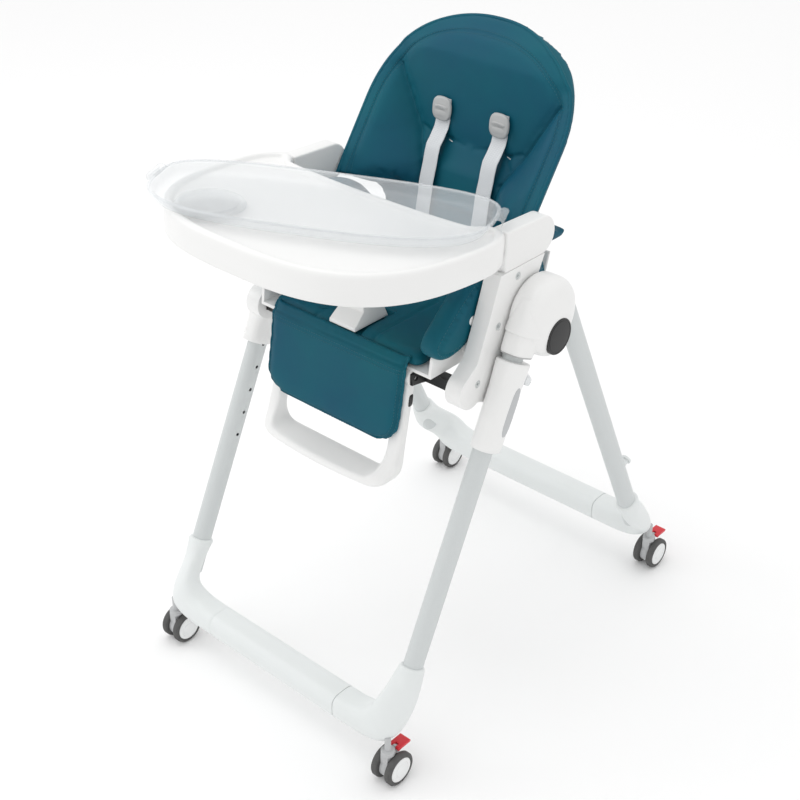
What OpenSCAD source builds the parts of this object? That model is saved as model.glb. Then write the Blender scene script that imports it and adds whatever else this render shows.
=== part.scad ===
// Folding high chair on castors: two leg frames joined at fold hubs, a seat carriage that slides
// on the front legs, a reclining back, a hinged leg rest and a tray that slides on the armrests.
// +Z is up, the front faces -Y, and the origin is on the floor under the middle of the chair.

/* [Overall] */
// Distance from the front castor swivels to the rear castor swivels
base_length = 720; // [600:10:880]
// Distance between the centre lines of the left and right legs
leg_spacing = 480; // [440:10:600]
// Height of the fold pivots above the floor
pivot_height = 650; // [560:10:800]

/* [Legs] */
// Width of the oval leg tube, across the chair
tube_w = 28; // [22:1:32]
// Depth of the oval leg tube, front to back
tube_d = 34; // [33:1:38]
// Wall of the leg tube
tube_wall = 1.6; // [1.2:0.1:2.4]
// Height at which the legs enter their feet
foot_height = 183; // [160:1:220]
// Distance of the front leg axis behind the front castor axle at that height
front_foot_in = 63; // [50:1:80]
// Distance of the rear leg axis ahead of the rear castor axle at that height
rear_foot_in = 80; // [60:1:100]
// Distance of each leg axis from the fold pivot, measured level
hub_reach = 62; // [60:1:72]
// Depth of each tube inside its foot
foot_socket = 55; // [40:1:60]

/* [Base] */
// Height of the base bar section
bar_h = 44; // [36:1:50]
// Depth of the base bar section
bar_d = 50; // [44:1:58]
// Corner radius of the base bar section
bar_round = 15; // [8:1:17]
// Half the length of the base bar, up to the seam with each foot
bar_half = 141; // [110:1:160]
// Height of the underside of the feet above the floor
foot_clear = 68; // [67:1:80]
// Distance of the bar's middle behind the castor axle line
bar_set_in = 12; // [4:1:20]

/* [Castors] */
// Radius of a castor wheel
wheel_r = 28.5; // [24:0.5:29]
// Width of one wheel of a pair
wheel_w = 13; // [9:0.5:14]
// Distance of the wheel axle behind the swivel axis
trail = 9; // [6:1:12]
// Width of the castor body between the two wheels
castor_body_w = 14; // [11:1:16]
// Radius of the axle
axle_r = 3; // [2:0.5:4]
// Radius of the swivel stem
stem_r = 5; // [4:0.5:6]

/* [Fold hub] */
// Thickness of the hub across the chair
hub_w = 46; // [44:1:56]
// Radius of the round hub cover
hub_r = 60; // [58:1:68]
// Radius of the round release button
button_r = 29; // [22:1:30]
// Travel of the release button
button_travel = 4; // [3:0.5:5]

/* [Slider] */
// Length of the sliding sleeve on the front leg
sleeve_length = 137; // [110:1:160]
// Wall of the sleeve at its front and back
sleeve_wall = 6; // [4:0.5:8]
// Travel of the seat carriage down the front legs
height_travel = 240; // [160:40:240]
// Number of height positions below the top one
height_steps = 6; // [4:1:6]

/* [Seat] */
// Inner width of the seat bucket
seat_inner_w = 340; // [300:2:344]
// Wall of the seat bucket
seat_wall = 5; // [3:0.5:7]
// Thickness of the seat cushion
seat_cushion_t = 17; // [12:1:24]
// Thickness of the side frames and armrests, across the chair
side_t = 28; // [22:1:32]

/* [Back] */
// Width of the backrest over its wings
back_w = 378; // [340:2:382]
// Height of the backrest's top above the fold pivots
back_top = 374; // [340:2:420]
// Roundness of the backrest's top, as a curve exponent
back_curve = 2.2; // [2:0.1:3]

/* [Leg rest] */
// Width over the leg rest's posts
leg_rest_w = 272; // [250:2:290]
// Drop from the leg rest's hinge to the middle of the footboard
leg_rest_drop = 168; // [150:1:190]
// Width of the padded flap
flap_w = 280; // [250:2:300]
// Length of the padded flap below the seat
flap_l = 100; // [80:1:130]

/* [Tray] */
// Width of the tray
tray_w = 490; // [470:2:500]
// Height of the tray's rim
tray_h = 45; // [38:1:50]
// Length of the tray from its front to its widest line
tray_nose = 244; // [220:2:250]
// Roundness of the tray's outline, as a curve exponent
tray_curve = 2.9; // [2.4:0.1:3.4]
// Wall of the tray's skirt
tray_wall = 3; // [2:0.5:4]
// Slope of the tray, front higher than back
tray_slope = 4; // [0:0.5:6]
// Length of the clear dinner tray between its end tabs
insert_l = 500; // [440:2:510]
// Depth of the clear dinner tray, front to back
insert_d = 226; // [200:2:240]
// Angle at which the dinner tray lies across the main tray
insert_turn = 28; // [0:1:30]

/* [Hidden] */
$fn = 48;

// Clearances
fit_gap = 0.2;
run_gap = 0.06;
slide_gap = 0.5;
move_gap = 2;

// Leg lines
leg_x = leg_spacing / 2;
castor_x = leg_x + 7;
pivot_y = -10;
front_foot_y = -base_length / 2 + front_foot_in;
rear_foot_y = base_length / 2 - rear_foot_in;
rise = pivot_height - foot_height;
front_lean = atan((pivot_y - hub_reach - front_foot_y) / rise);
rear_lean = atan((rear_foot_y - pivot_y - hub_reach) / rise);
pivot_up = rise / cos(front_lean);
rear_pivot_up = rise / cos(rear_lean);
front_arm = hub_reach * cos(front_lean);
rear_arm = hub_reach * cos(rear_lean);
rear_foot_point = hub_reach * sin(rear_lean);

// Widths, from the leg line inwards
side_out = leg_x - 18;
side_in = side_out - side_t;
hub_in = side_out + move_gap;
hub_out = hub_in + hub_w;
sleeve_out = leg_x + tube_w / 2 + 8;

// Hub
hub_mid_y = -8;
hub_mid_z = 32;
button_sunk = 5;
sleeve_round = 9;
knuckle_r = 32;
knuckle_w = 18;
neck_h = 12;
bolt_r = 5;
socket_start = pivot_up - 17;
slider_top = socket_start - 3;

// Castors
stem_len = 26;
collar_r = 11;
collar_h = 8;
pedal_l = 27;
pedal_hinge = 7;
pedal_z = 2 * wheel_r + 4;
tyre_round = 4;

// Seat, measured from the fold pivot
seat_half = seat_inner_w / 2;
seat_front = -176;
seat_back = 96;
seat_floor = -33;
seat_cushion_front = -182;
tube_size = 18;
cross_y = -140;
cross_z = -52;
rest_y = -170;
rest_z = -46;
rest_boss_r = 11;
rest_pin_r = 4;
recline_y = 84;
recline_z = -14;
recline_pin_r = 5;
arm_back = 42;
arm_bottom = 112;
arm_top = 171;

// Back, measured from the fold pivot
back_half = back_w / 2;
back_round = 144;
back_lean = 15.6;

// Tray, measured from the fold pivot
tray_y = -90;
tray_z = 136;
tray_ears = 14;
arm_front = tray_y + tray_ears * cos(tray_slope) + tray_h * sin(tray_slope) + slide_gap;
tray_mid = -56;
tray_floor = 36;
tray_floor_t = 3;
rail_w = 16;
rail_h = 18;
rail_l = 120;

// Colours
white = "#f3f3f2";
base_white = "#e3e6e5";
silver = "#c5c8c8";
teal = "#1b5566";
webbing = "#c4c8cb";
black = "#2b2b2d";
red = "#d22a35";
tyre_grey = "#6b6b6a";
clear = "#e8ecee";

// Places
module sided(s) {
    if (s > 0) children();
    else mirror([1, 0, 0]) children();
}
module at_front_leg() {
    translate([leg_x, front_foot_y, foot_height]) rotate([-front_lean, 0, 0]) children();
}
module at_rear_leg() {
    translate([leg_x, rear_foot_y, foot_height]) rotate([rear_lean, 0, 0]) children();
}
module at_pivot() {
    translate([0, pivot_y, pivot_height]) children();
}
// Extrudes a shape drawn in (y, z) along +X from x0 to x1
module across(x0, x1) {
    translate([x0, 0, 0]) rotate([90, 0, 90]) linear_extrude(x1 - x0) children();
}
module pin_across(r, x0, x1) {
    across(x0, x1) circle(r);
}
module oval(w, d) {
    for (end = [-1, 1]) translate([0, end * (d - w) / 2]) circle(w / 2);
    square([w, d - w], center = true);
}
module rounded(w, h, r) {
    square([w - 2 * r, h], center = true);
    square([w, h - 2 * r], center = true);
    for (i = [-1, 1], j = [-1, 1]) translate([i * (w / 2 - r), j * (h / 2 - r)]) circle(r);
}

// Leg frames
module leg_tube(low, high) {
    translate([0, 0, low]) linear_extrude(high - low) difference() {
        oval(tube_w, tube_d);
        oval(tube_w - 2 * tube_wall, tube_d - 2 * tube_wall);
    }
}
// Neck of the knuckle, where it passes through the wall of the rear tube
module at_knuckle_neck() {
    at_pivot() rotate([rear_lean, 0, 0])
        translate([leg_x - knuckle_w / 2, rear_arm - tube_d / 2 - 1, -neck_h / 2]) children();
}
module leg_space(low, high) {
    translate([0, 0, low]) linear_extrude(high - low)
        oval(tube_w + 2 * fit_gap, tube_d + 2 * fit_gap);
}
module front_leg(s) {
    hole_r = 3;
    hole_at = slider_top - 60;
    color(silver) sided(s) at_front_leg() difference() {
        leg_tube(-foot_socket, pivot_up + 32);
        for (i = [0 : height_steps])
            translate([-tube_w / 2 - 1, 0, hole_at - i * height_travel / height_steps])
                rotate([0, 90, 0]) cylinder(r = hole_r, h = tube_wall + 2);
    }
}
module rear_leg(s) {
    color(silver) sided(s) difference() {
        at_rear_leg() leg_tube(-foot_socket, rear_pivot_up + rear_foot_point + 12);
        at_knuckle_neck() translate([-fit_gap, -1, -fit_gap])
            cube([knuckle_w + 2 * fit_gap, 7, neck_h + 2 * fit_gap]);
    }
}
module bar_section() {
    rounded(bar_d, bar_h, bar_round);
}
// One foot: a tapered collar on the leg, a corner over the castor and an arm to the base bar
module foot(s, front) {
    dir = front ? -1 : 1;
    collar_wall = 5;
    corner_r = bar_d / 2;
    bar_y = dir * (base_length / 2 - bar_set_in);
    arm_end = 178;
    color(base_white) sided(s) difference() {
        union() {
            hull() {
                if (front) at_front_leg() translate([0, 0, -10])
                    linear_extrude(10) oval(tube_w + 2 * collar_wall, tube_d + 2 * collar_wall);
                else at_rear_leg() translate([0, 0, -10])
                    linear_extrude(10) oval(tube_w + 2 * collar_wall, tube_d + 2 * collar_wall);
                translate([castor_x - 2, bar_y, foot_clear]) cylinder(r = corner_r, h = bar_h - 8, $fn = 32);
                translate([castor_x - 45, bar_y, foot_clear]) cylinder(r = corner_r - 4, h = bar_h, $fn = 32);
            }
            translate([0, bar_y, foot_clear + bar_h / 2]) across(bar_half + fit_gap, arm_end + 40) bar_section();
        }
        if (front) at_front_leg() leg_space(-foot_socket - fit_gap, 1);
        else at_rear_leg() leg_space(-foot_socket - fit_gap, 1);
        translate([castor_x, dir * base_length / 2, foot_clear - 1])
            cylinder(r = stem_r + run_gap, h = stem_len + 2);
        translate([castor_x, dir * base_length / 2, foot_clear - 1])
            cylinder(r = collar_r + 2, h = 3);
    }
}
module base_bar(dir) {
    bar_wall = 3;
    color(base_white) translate([0, dir * (base_length / 2 - bar_set_in), foot_clear + bar_h / 2])
        across(-bar_half, bar_half) difference() {
            bar_section();
            rounded(bar_d - 2 * bar_wall, bar_h - 2 * bar_wall, bar_round - bar_wall);
        }
}

// Fold hubs
module hub_outline(inset) {
    translate([hub_mid_y, hub_mid_z]) circle(hub_r - inset);
}
// The space that the rear leg and its knuckle sweep as the frame folds
module fold_space(from, to) {
    keep = rear_arm - tube_d / 2 - 1.5;
    clear = 160;
    turns = [-150 : 10 : 50];
    across(from, to) polygon([for (a = turns) clear * [cos(a), sin(a)],
        for (a = turns) keep * [cos(-100 - a), sin(-100 - a)]]);
}
module hub(s) {
    edge = 7;
    socket_w = sleeve_out - hub_in - 1;
    slot_r = rear_arm - tube_d / 2 - 1;
    bolt_end = hub_out - button_sunk - button_travel - 3;
    color(white) sided(s) difference() {
        union() {
            at_pivot() {
                across(hub_in, hub_out - edge) hub_outline(0);
                across(hub_in, hub_out - edge / 3) hub_outline(edge / 3);
                across(hub_in, hub_out) hub_outline(edge);
            }
            at_front_leg() translate([sleeve_out - socket_w / 2 - leg_x, 0, socket_start])
                linear_extrude(60) rounded(socket_w, tube_d + 2 * sleeve_wall, sleeve_round);
        }
        at_front_leg() leg_space(socket_start - 1, pivot_up + 32 + fit_gap);
        at_pivot() {
            fold_space(hub_in - 1, leg_x + tube_w / 2 + move_gap);
            pin_across(slot_r, leg_x - knuckle_w / 2 - slide_gap, leg_x + knuckle_w / 2 + slide_gap);
            pin_across(bolt_r, hub_in - 1, bolt_end);
            pin_across(button_r + slide_gap, hub_out - button_sunk - button_travel - 1, hub_out + 1);
        }
    }
}
module pivot_bolts() {
    color(silver) for (s = [-1, 1]) sided(s) at_pivot()
        pin_across(bolt_r - run_gap, hub_in, hub_out - button_sunk - button_travel - 3);
}
module fold_button(s) {
    color(black) sided(s) at_pivot() {
        pin_across(button_r, hub_out - button_sunk, hub_out + 1);
        pin_across(button_r - 4, hub_out + 1, hub_out + 2);
    }
}
// Plug in the top of the rear tube with an arm and an eye on the fold pivot
module rear_knuckle(s) {
    color(white) sided(s) {
        at_pivot() across(leg_x - knuckle_w / 2, leg_x + knuckle_w / 2) difference() {
            union() {
                circle(knuckle_r);
                rotate(rear_lean) translate([0, -13]) square([rear_arm - tube_d / 2 - fit_gap, 26]);
            }
            circle(bolt_r);
        }
        at_rear_leg() translate([0, 0, rear_pivot_up + rear_foot_point - 40]) linear_extrude(52)
            oval(tube_w - 2 * tube_wall - 2 * fit_gap, tube_d - 2 * tube_wall - 2 * fit_gap);
        at_knuckle_neck() cube([knuckle_w, 6, neck_h]);
    }
}
module tray_hooks() {
    hook_at = (271 - foot_height) / cos(rear_lean);
    color(base_white) for (s = [-1, 1]) sided(s) at_rear_leg()
        translate([0, tube_d / 2, hook_at]) rotate([-90, 0, 0]) {
            cylinder(r = 6, h = 9);
            translate([0, 0, 9]) cylinder(r = 9, h = 4);
        }
}

// Castors
module castor_place(s, dir) {
    sided(s) translate([castor_x, dir * base_length / 2 + trail, 0]) children();
}
module castor_body(s, dir) {
    half = castor_body_w / 2;
    top = foot_clear - 2 - fit_gap;
    color("#c9c9c9") castor_place(s, dir) {
        across(-half, half) {
            translate([0, wheel_r]) circle(wheel_r - 7);
            polygon([[-trail - 9, wheel_r], [5, wheel_r], [3, top - collar_h + 1], [-trail - 9, top - collar_h + 1]]);
        }
        difference() {
            across(-2.5, 2.5) {
                translate([pedal_hinge, pedal_z]) circle(3);
                polygon([[-2, pedal_z - 14], [10, pedal_z - 17], [10, pedal_z], [-2, pedal_z - 8]]);
            }
            translate([0, pedal_hinge, pedal_z]) pin_across(1.2 + run_gap, -4, 4);
        }
        translate([0, -trail, top - collar_h]) cylinder(r = collar_r, h = collar_h);
        translate([0, -trail, top - 1]) cylinder(r = stem_r, h = stem_len + 1);
        translate([0, 0, wheel_r]) pin_across(axle_r, -half - wheel_w, half + wheel_w);
    }
}
module castor_wheels(s, dir) {
    half = castor_body_w / 2;
    color(tyre_grey) castor_place(s, dir) translate([0, 0, wheel_r]) for (k = [0, 1]) mirror([k, 0, 0])
        translate([half + slide_gap, 0, 0]) rotate([0, 90, 0]) rotate_extrude() difference() {
            union() {
                square([wheel_r - tyre_round, wheel_w - slide_gap]);
                translate([0, tyre_round]) square([wheel_r, wheel_w - 2 * tyre_round - slide_gap]);
                for (z = [tyre_round, wheel_w - tyre_round - slide_gap])
                    translate([wheel_r - tyre_round, z]) circle(tyre_round);
            }
            translate([-1, -1]) square([axle_r + run_gap + 1, wheel_w + 2]);
            translate([axle_r + 5, wheel_w - slide_gap - 1.5]) square([9, 2]);
        }
}
module brake_pedal(s, dir) {
    color(red) castor_place(s, dir) {
        difference() {
            across(-10, 10) union() {
                translate([pedal_hinge, pedal_z]) circle(3);
                translate([pedal_hinge, pedal_z - 2]) square([pedal_l - 4, 5]);
                translate([pedal_hinge + pedal_l - 4, pedal_z + 0.5]) circle(2.5);
            }
            across(-3.2, 3.2) translate([pedal_hinge - 4, pedal_z - 6]) square([10, 12]);
        }
        translate([0, pedal_hinge, pedal_z]) pin_across(1.2, -6, 6);
    }
}

// Seat carriage
module slider(s) {
    inner = side_out;
    grip_cut = 2;
    color(white) sided(s) at_front_leg() translate([0, 0, slider_top - sleeve_length]) difference() {
        translate([(inner + sleeve_out) / 2 - leg_x, 0, 0])
            linear_extrude(sleeve_length) rounded(sleeve_out - inner, tube_d + 2 * sleeve_wall, sleeve_round);
        translate([0, 0, -1]) linear_extrude(sleeve_length + 2)
            oval(tube_w + 2 * slide_gap, tube_d + 2 * slide_gap);
        translate([-6, tube_d / 2 + sleeve_wall - grip_cut, 22]) cube([22, 10, 72]);
        translate([-8, tube_d / 2 + 2, sleeve_length - 32]) cube([20, 10, 24]);
    }
}
module slider_grips() {
    color("#b9b5b2") for (s = [-1, 1]) sided(s) at_front_leg()
        translate([-6, tube_d / 2 + sleeve_wall - 2, slider_top - sleeve_length + 22]) cube([22, 3, 72]);
}
module height_lever(s) {
    color(clear) sided(s) at_front_leg() translate([0, tube_d / 2 + 4.3, slider_top - 10.5])
        across(-7, 11) {
            circle(2);
            translate([24, -20]) circle(7);
            polygon([[-2, 0], [2, 0], [27, -13.7], [19, -25], [-2, -20]]);
        }
}
module side_frame(s) {
    color(white) sided(s) at_pivot() difference() {
        across(side_in, side_out) {
            polygon([[-82, arm_bottom], [-104, 50], [-128, -10], [cross_y - 10, cross_z + side_boss_r - 2],
                [cross_y + 14, cross_z - side_boss_r + 4], [-88, -90], [-62, -48], [-40, 10], [4, 78],
                [20, arm_bottom]]);
            translate([cross_y, cross_z]) circle(side_boss_r);
        }
        translate([side_out - 4, 0, 0]) for (p = screw_places) translate([0, p[0], p[1]])
            pin_across(screw_head_r, 0, 6);
        translate([side_in - 1, cross_y - tube_size / 2 - fit_gap, cross_z - tube_size / 2 - fit_gap])
            cube([9, tube_size + 2 * fit_gap, tube_size + 2 * fit_gap]);
    }
}
side_boss_r = 27;
screw_places = [[-42, 108 - 10], [-83, 33], [-126, -44]];
screw_head_r = 6;
module side_screws() {
    color(silver) for (s = [-1, 1]) sided(s) at_pivot() for (p = screw_places)
        translate([0, p[0], p[1]]) difference() {
            pin_across(screw_head_r - fit_gap, side_out - 4, side_out - 1);
            across(side_out - 2.5, side_out) circle(2.5, $fn = 6);
        }
}
module armrest(s) {
    nose = (arm_top - arm_bottom) / 2;
    rail_mid = tray_z + 20;
    color(white) sided(s) at_pivot() {
        across(side_in, side_out) {
            translate([arm_back - nose, arm_bottom + nose]) circle(nose);
            polygon([[arm_front, arm_bottom], [arm_back - nose, arm_bottom],
                [arm_back - nose, arm_top], [arm_front, arm_top + 4]]);
        }
        translate([side_in + (side_t - rail_w) / 2, tray_y, rail_mid]) rotate([-tray_slope, 0, 0])
            translate([0, -rail_l + 20, -rail_h / 2]) cube([rail_w, rail_l, rail_h]);
    }
}
module cross_tube() {
    color(black) at_pivot() translate([0, cross_y, cross_z])
        across(-side_in - 8, side_in + 8) difference() {
            square(tube_size, center = true);
            square(tube_size - 4, center = true);
        }
    color(black) for (s = [-1, 1]) sided(s) at_pivot()
        across(leg_rest_w / 2 + 1, leg_rest_w / 2 + 7) difference() {
            polygon([[rest_y - 9, rest_z - 9], [rest_y + 9, rest_z - 12], [cross_y - tube_size / 2, cross_z - 9],
                [cross_y - tube_size / 2, cross_z + 9], [rest_y + 9, rest_z + 12], [rest_y - 9, rest_z + 9]]);
            translate([rest_y, rest_z]) circle(rest_pin_r + run_gap);
        }
}
// Profile of the bucket's side walls
module seat_side_profile() {
    polygon([[seat_front, seat_floor], [seat_front + 4, seat_floor + 30], [-104, 72], [-64, 108], [-10, 122],
        [24, 112], [60, 84], [seat_back, 10], [seat_back, seat_floor]]);
}
module seat_shell() {
    color(white) at_pivot() difference() {
        union() {
            difference() {
                across(-seat_half - seat_wall, seat_half + seat_wall) seat_side_profile();
                translate([-seat_half, -300, seat_floor + seat_wall]) cube([2 * seat_half, 500, 300]);
            }
            for (s = [-1, 1]) sided(s) across(seat_half + seat_wall, side_in)
                for (p = [[-96, -10], [-20, 60]]) translate(p) circle(11);
            for (s = [-1, 1]) translate([s * 90 - 12, cross_y - tube_size / 2, cross_z + tube_size / 2])
                cube([24, tube_size, seat_floor - cross_z - tube_size / 2]);
        }
        translate([0, recline_y, recline_z]) pin_across(recline_pin_r + run_gap, -300, 300);
        for (x = [-60, 60]) translate([x - 14, seat_back - 30, seat_floor - 1]) cube([28, 6, seat_wall + 2]);
    }
}
module seat_cushion() {
    base = seat_floor + seat_wall;
    side = 4;
    color(teal) at_pivot() {
        across(-seat_half + side, seat_half - side) polygon([[seat_cushion_front, base], [seat_cushion_front, base + 8],
            [seat_cushion_front + 8, base + seat_cushion_t], [26, base + seat_cushion_t], [26, base]]);
    }
}
module crotch_post() {
    base = seat_floor + seat_wall + seat_cushion_t;
    top = tray_z - base - 3;
    color(white) at_pivot() translate([0, 0, base]) intersection() {
        across(-30, 30) polygon([[seat_front, 0], [-102, 0], [-110, 22], [-122, 50], [-124, top],
            [-150, top], [-150, 50], [-154, 24], [seat_front, 6]]);
        translate([0, 0, -1]) rotate([90, 0, 0]) translate([0, 0, 50]) linear_extrude(200)
            polygon([[-27, 0], [27, 0], [26, 12], [21, 50], [21, top + 2], [-21, top + 2], [-21, 50], [-26, 12]]);
    }
}
module lap_belt() {
    base = seat_floor + seat_wall + seat_cushion_t;
    color(webbing) at_pivot() for (s = [-1, 1]) sided(s)
        translate([20, -34, base]) cube([seat_half - 26, 25, 2]);
    color(webbing) at_pivot() translate([-12, -100, base]) cube([24, 52, 2]);
}
module harness_buckle() {
    base = seat_floor + seat_wall + seat_cushion_t;
    color("#b9b5b2") at_pivot() translate([0, -22, base + 8]) rotate([90, 0, 0]) translate([0, 0, -22])
        linear_extrude(54) rounded(50, 12, 5);
}

// Backrest, drawn from the front in (x, z)
module back_outline(inset) {
    mid = back_top - back_round;
    a = back_half - inset;
    b = back_round - inset;
    low = 142 + inset;
    waist = seat_half - 5 - inset;
    polygon(concat(
        [for (t = [0 : 6 : 180]) [a * sign(cos(t)) * pow(abs(cos(t)), 2 / back_curve), mid + b * pow(sin(t), 2 / back_curve)]],
        [[-a, low + 20], [-a + 14, low], [-waist, low - 14], [-waist, -6], [waist, -6], [waist, low - 14],
            [a - 14, low], [a, low + 20]]));
}
module from_front(y0, y1, inset) {
    translate([0, y1, 0]) rotate([90, 0, 0]) linear_extrude(y1 - y0) back_outline(inset);
}
// Lines of the back seen from the side: its front surface, its rim and its rear, as y at a height
function back_front(z) = lookup(z, [[-6, 66], [150, 96], [190, 128], [320, 131], [back_top, 180]]);
function back_rim(z) = 31 + (z - 153) * 0.7;
function back_rear(z) = 100 + (min(z, 322) + 6) * tan(back_lean);
rim_z = 156;
strap_x = 56.5;
strap_w = 28;
strap_t = 2;
// Straight line behind the cushion, inside the curve of the shell's rear
function cushion_rear(z) = lookup(z, [[-6, back_rear(-6)], [back_top, back_rear(back_top)]]);
// Space inside a band that follows the rim's slope, with its sides turned in behind the rim
module back_wedge(inset) {
    half = back_half - inset;
    lean = atan(0.7);
    depth = 92;
    translate([0, back_rim(rim_z), rim_z]) rotate([-lean, 0, 0]) translate([0, 0, -400])
        linear_extrude(900) polygon([[-half, -250], [half, -250], [half, 8], [half - depth, depth - inset],
            [-half + depth, depth - inset], [-half, 8]]);
}
module back_side(levels, front_shift, rear_shift) {
    across(-250, 250) polygon(concat(
        [for (z = levels) [front_shift, z]],
        [for (i = [len(levels) - 1 : -1 : 0]) [back_rear(levels[i]) - rear_shift, levels[i]]]));
}
module lower_plate(half, high, thick) {
    across(-half, half) polygon([[back_rear(-6) - thick, -6], [back_rear(-6), -6],
        [back_rear(high), high], [back_rear(high) - thick, high]]);
}
module back_shell() {
    shell_t = 5;
    upper = [rim_z, back_top];
    color(white) at_pivot() difference() {
        union() {
            difference() {
                intersection() {
                    from_front(-60, 260, 3);
                    back_wedge(3);
                    back_side(upper, -60, 0);
                }
                intersection() {
                    from_front(-61, 261, 3 + shell_t);
                    back_wedge(3 + shell_t);
                    back_side([rim_z - 1, back_top + 1], -61, shell_t);
                }
                across(-250, 250) polygon([[-61, 100], [back_rim(100) + 10, 100],
                    [back_rim(back_top) + 6, back_top + 1], [-61, back_top + 1]]);
            }
            intersection() {
                from_front(-60, 260, 3);
                union() {
                    lower_plate(118, rim_z + 6, shell_t);
                    lower_plate(seat_half - 7, 60, shell_t);
                }
            }
            for (s = [-1, 1]) sided(s) across(seat_half - 17, seat_half - 5) {
                translate([recline_y, recline_z]) circle(11);
                polygon([[recline_y - 11, recline_z], [recline_y + 11, recline_z],
                    [back_rear(24), 24], [back_rear(24) - 22, 24]]);
            }
            for (s = [-1, 1]) sided(s) translate([0, recline_y, recline_z])
                pin_across(recline_pin_r, seat_half - 6, seat_half + seat_wall + 3);
        }
        for (x = [-56, 56]) translate([x - 15, 100, 246]) cube([30, 120, 6]);
    }
}
module back_cushion() {
    gap = 0.4;
    inner = 3 + 5 + gap;
    low = 26;
    waist = seat_half - 19;
    levels = [low, 150, 190, 320, back_top];
    color(teal) at_pivot() {
        intersection() {
            from_front(-60, 260, inner);
            union() {
                back_wedge(inner);
                translate([-waist, -50, low]) cube([2 * waist, 300, rim_z - low]);
            }
            union() {
                across(-waist, waist) polygon(concat([for (z = levels) [back_front(z), z]],
                    [[cushion_rear(back_top) - inner, back_top], [cushion_rear(low) - inner, low]]));
                for (s = [-1, 1]) sided(s) across(waist - 24, back_half) polygon([[back_rim(rim_z) - 22, rim_z - 10],
                    [back_rim(290), 290], [cushion_rear(290) - inner, 290], [cushion_rear(rim_z) - inner, rim_z - 10]]);
            }
        }
    }
}
module shoulder_straps() {
    levels = [14, 150, 190, 250];
    color(webbing) at_pivot() for (s = [-1, 1]) sided(s) across(strap_x - strap_w / 2, strap_x + strap_w / 2)
        polygon([for (z = levels) [back_front(z), z], for (i = [3 : -1 : 0]) [back_front(levels[i]) - strap_t, levels[i]]]);
}
module strap_adjusters() {
    middle_z = 234;
    h = 36;
    color("#b9b5b2") at_pivot() for (s = [-1, 1]) sided(s)
        translate([strap_x, back_front(middle_z - h / 2) - strap_t - fit_gap, middle_z]) rotate([90, 0, 0])
            linear_extrude(4) difference() {
                rounded(37, h, 8);
                rounded(22, 6, 2);
            }
}
module recline_lever() {
    z0 = 262;
    color(white) at_pivot() translate([0, back_rear(z0) + fit_gap, z0]) rotate([-back_lean, 0, 0])
        rotate([-90, 0, 0]) linear_extrude(13) difference() {
            rounded(110, 40, 15);
            rounded(80, 18, 8);
        }
}

// Leg rest
module leg_rest_frame() {
    post_w = 24;
    foot_y = rest_y - 34;
    foot_z = rest_z - leg_rest_drop;
    color(white) at_pivot() {
        for (s = [-1, 1]) sided(s) {
            across(leg_rest_w / 2 - post_w, leg_rest_w / 2) difference() {
                union() {
                    translate([rest_y, rest_z]) circle(rest_boss_r);
                    polygon([[rest_y - 8, rest_z - 2], [rest_y + 11, rest_z - 2], [foot_y + 17, foot_z + 22],
                        [foot_y + 14, foot_z - 8], [foot_y - 16, foot_z - 8], [foot_y - 6, foot_z + 22]]);
                }
                translate([rest_y, rest_z]) circle(rest_pin_r);
            }
            translate([0, rest_y, rest_z]) pin_across(rest_pin_r, leg_rest_w / 2 - post_w, leg_rest_w / 2 + 8);
        }
        translate([0, rest_y - 12, rest_z - 60]) across(-leg_rest_w / 2 + post_w, leg_rest_w / 2 - post_w)
            rounded(8, 44, 3);
    }
}
module footboard() {
    foot_y = rest_y - 34;
    foot_z = rest_z - leg_rest_drop;
    half = leg_rest_w / 2 - 24 - fit_gap;
    bow_r = 420;
    color(white) at_pivot() translate([0, foot_y, foot_z]) {
        translate([0, -1, 0]) across(-half, half) rounded(30, 18, 8);
        translate([0, 0, -9]) linear_extrude(17) intersection() {
            translate([0, bow_r - 46]) circle(bow_r, $fn = 160);
            translate([-half - 20, -46]) square([2 * half + 40, 29.5]);
        }
    }
}
module calf_pad() {
    top = rest_z - 10;
    side = flap_w / 2;
    color(teal) at_pivot() translate([0, rest_y - 15, top]) rotate([-11, 0, 0]) rotate([90, 0, 0])
        linear_extrude(10) {
            translate([0, -flap_l / 2 + 15]) square([flap_w, flap_l - 30], center = true);
            translate([0, -flap_l + 20]) square([flap_w - 60, 40], center = true);
            for (k = [-1, 1]) translate([k * (side - 30), -flap_l + 30]) circle(30);
        }
}
module leg_rest_latch() {
    color(clear) at_pivot() translate([0, rest_y - 2, rest_z - 44]) {
        across(-leg_rest_w / 2 + 24.5, leg_rest_w / 2 - 24.5) rounded(6, 6, 2);
        across(-30, 30) translate([0, -7]) rounded(10, 12, 4);
    }
}

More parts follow.
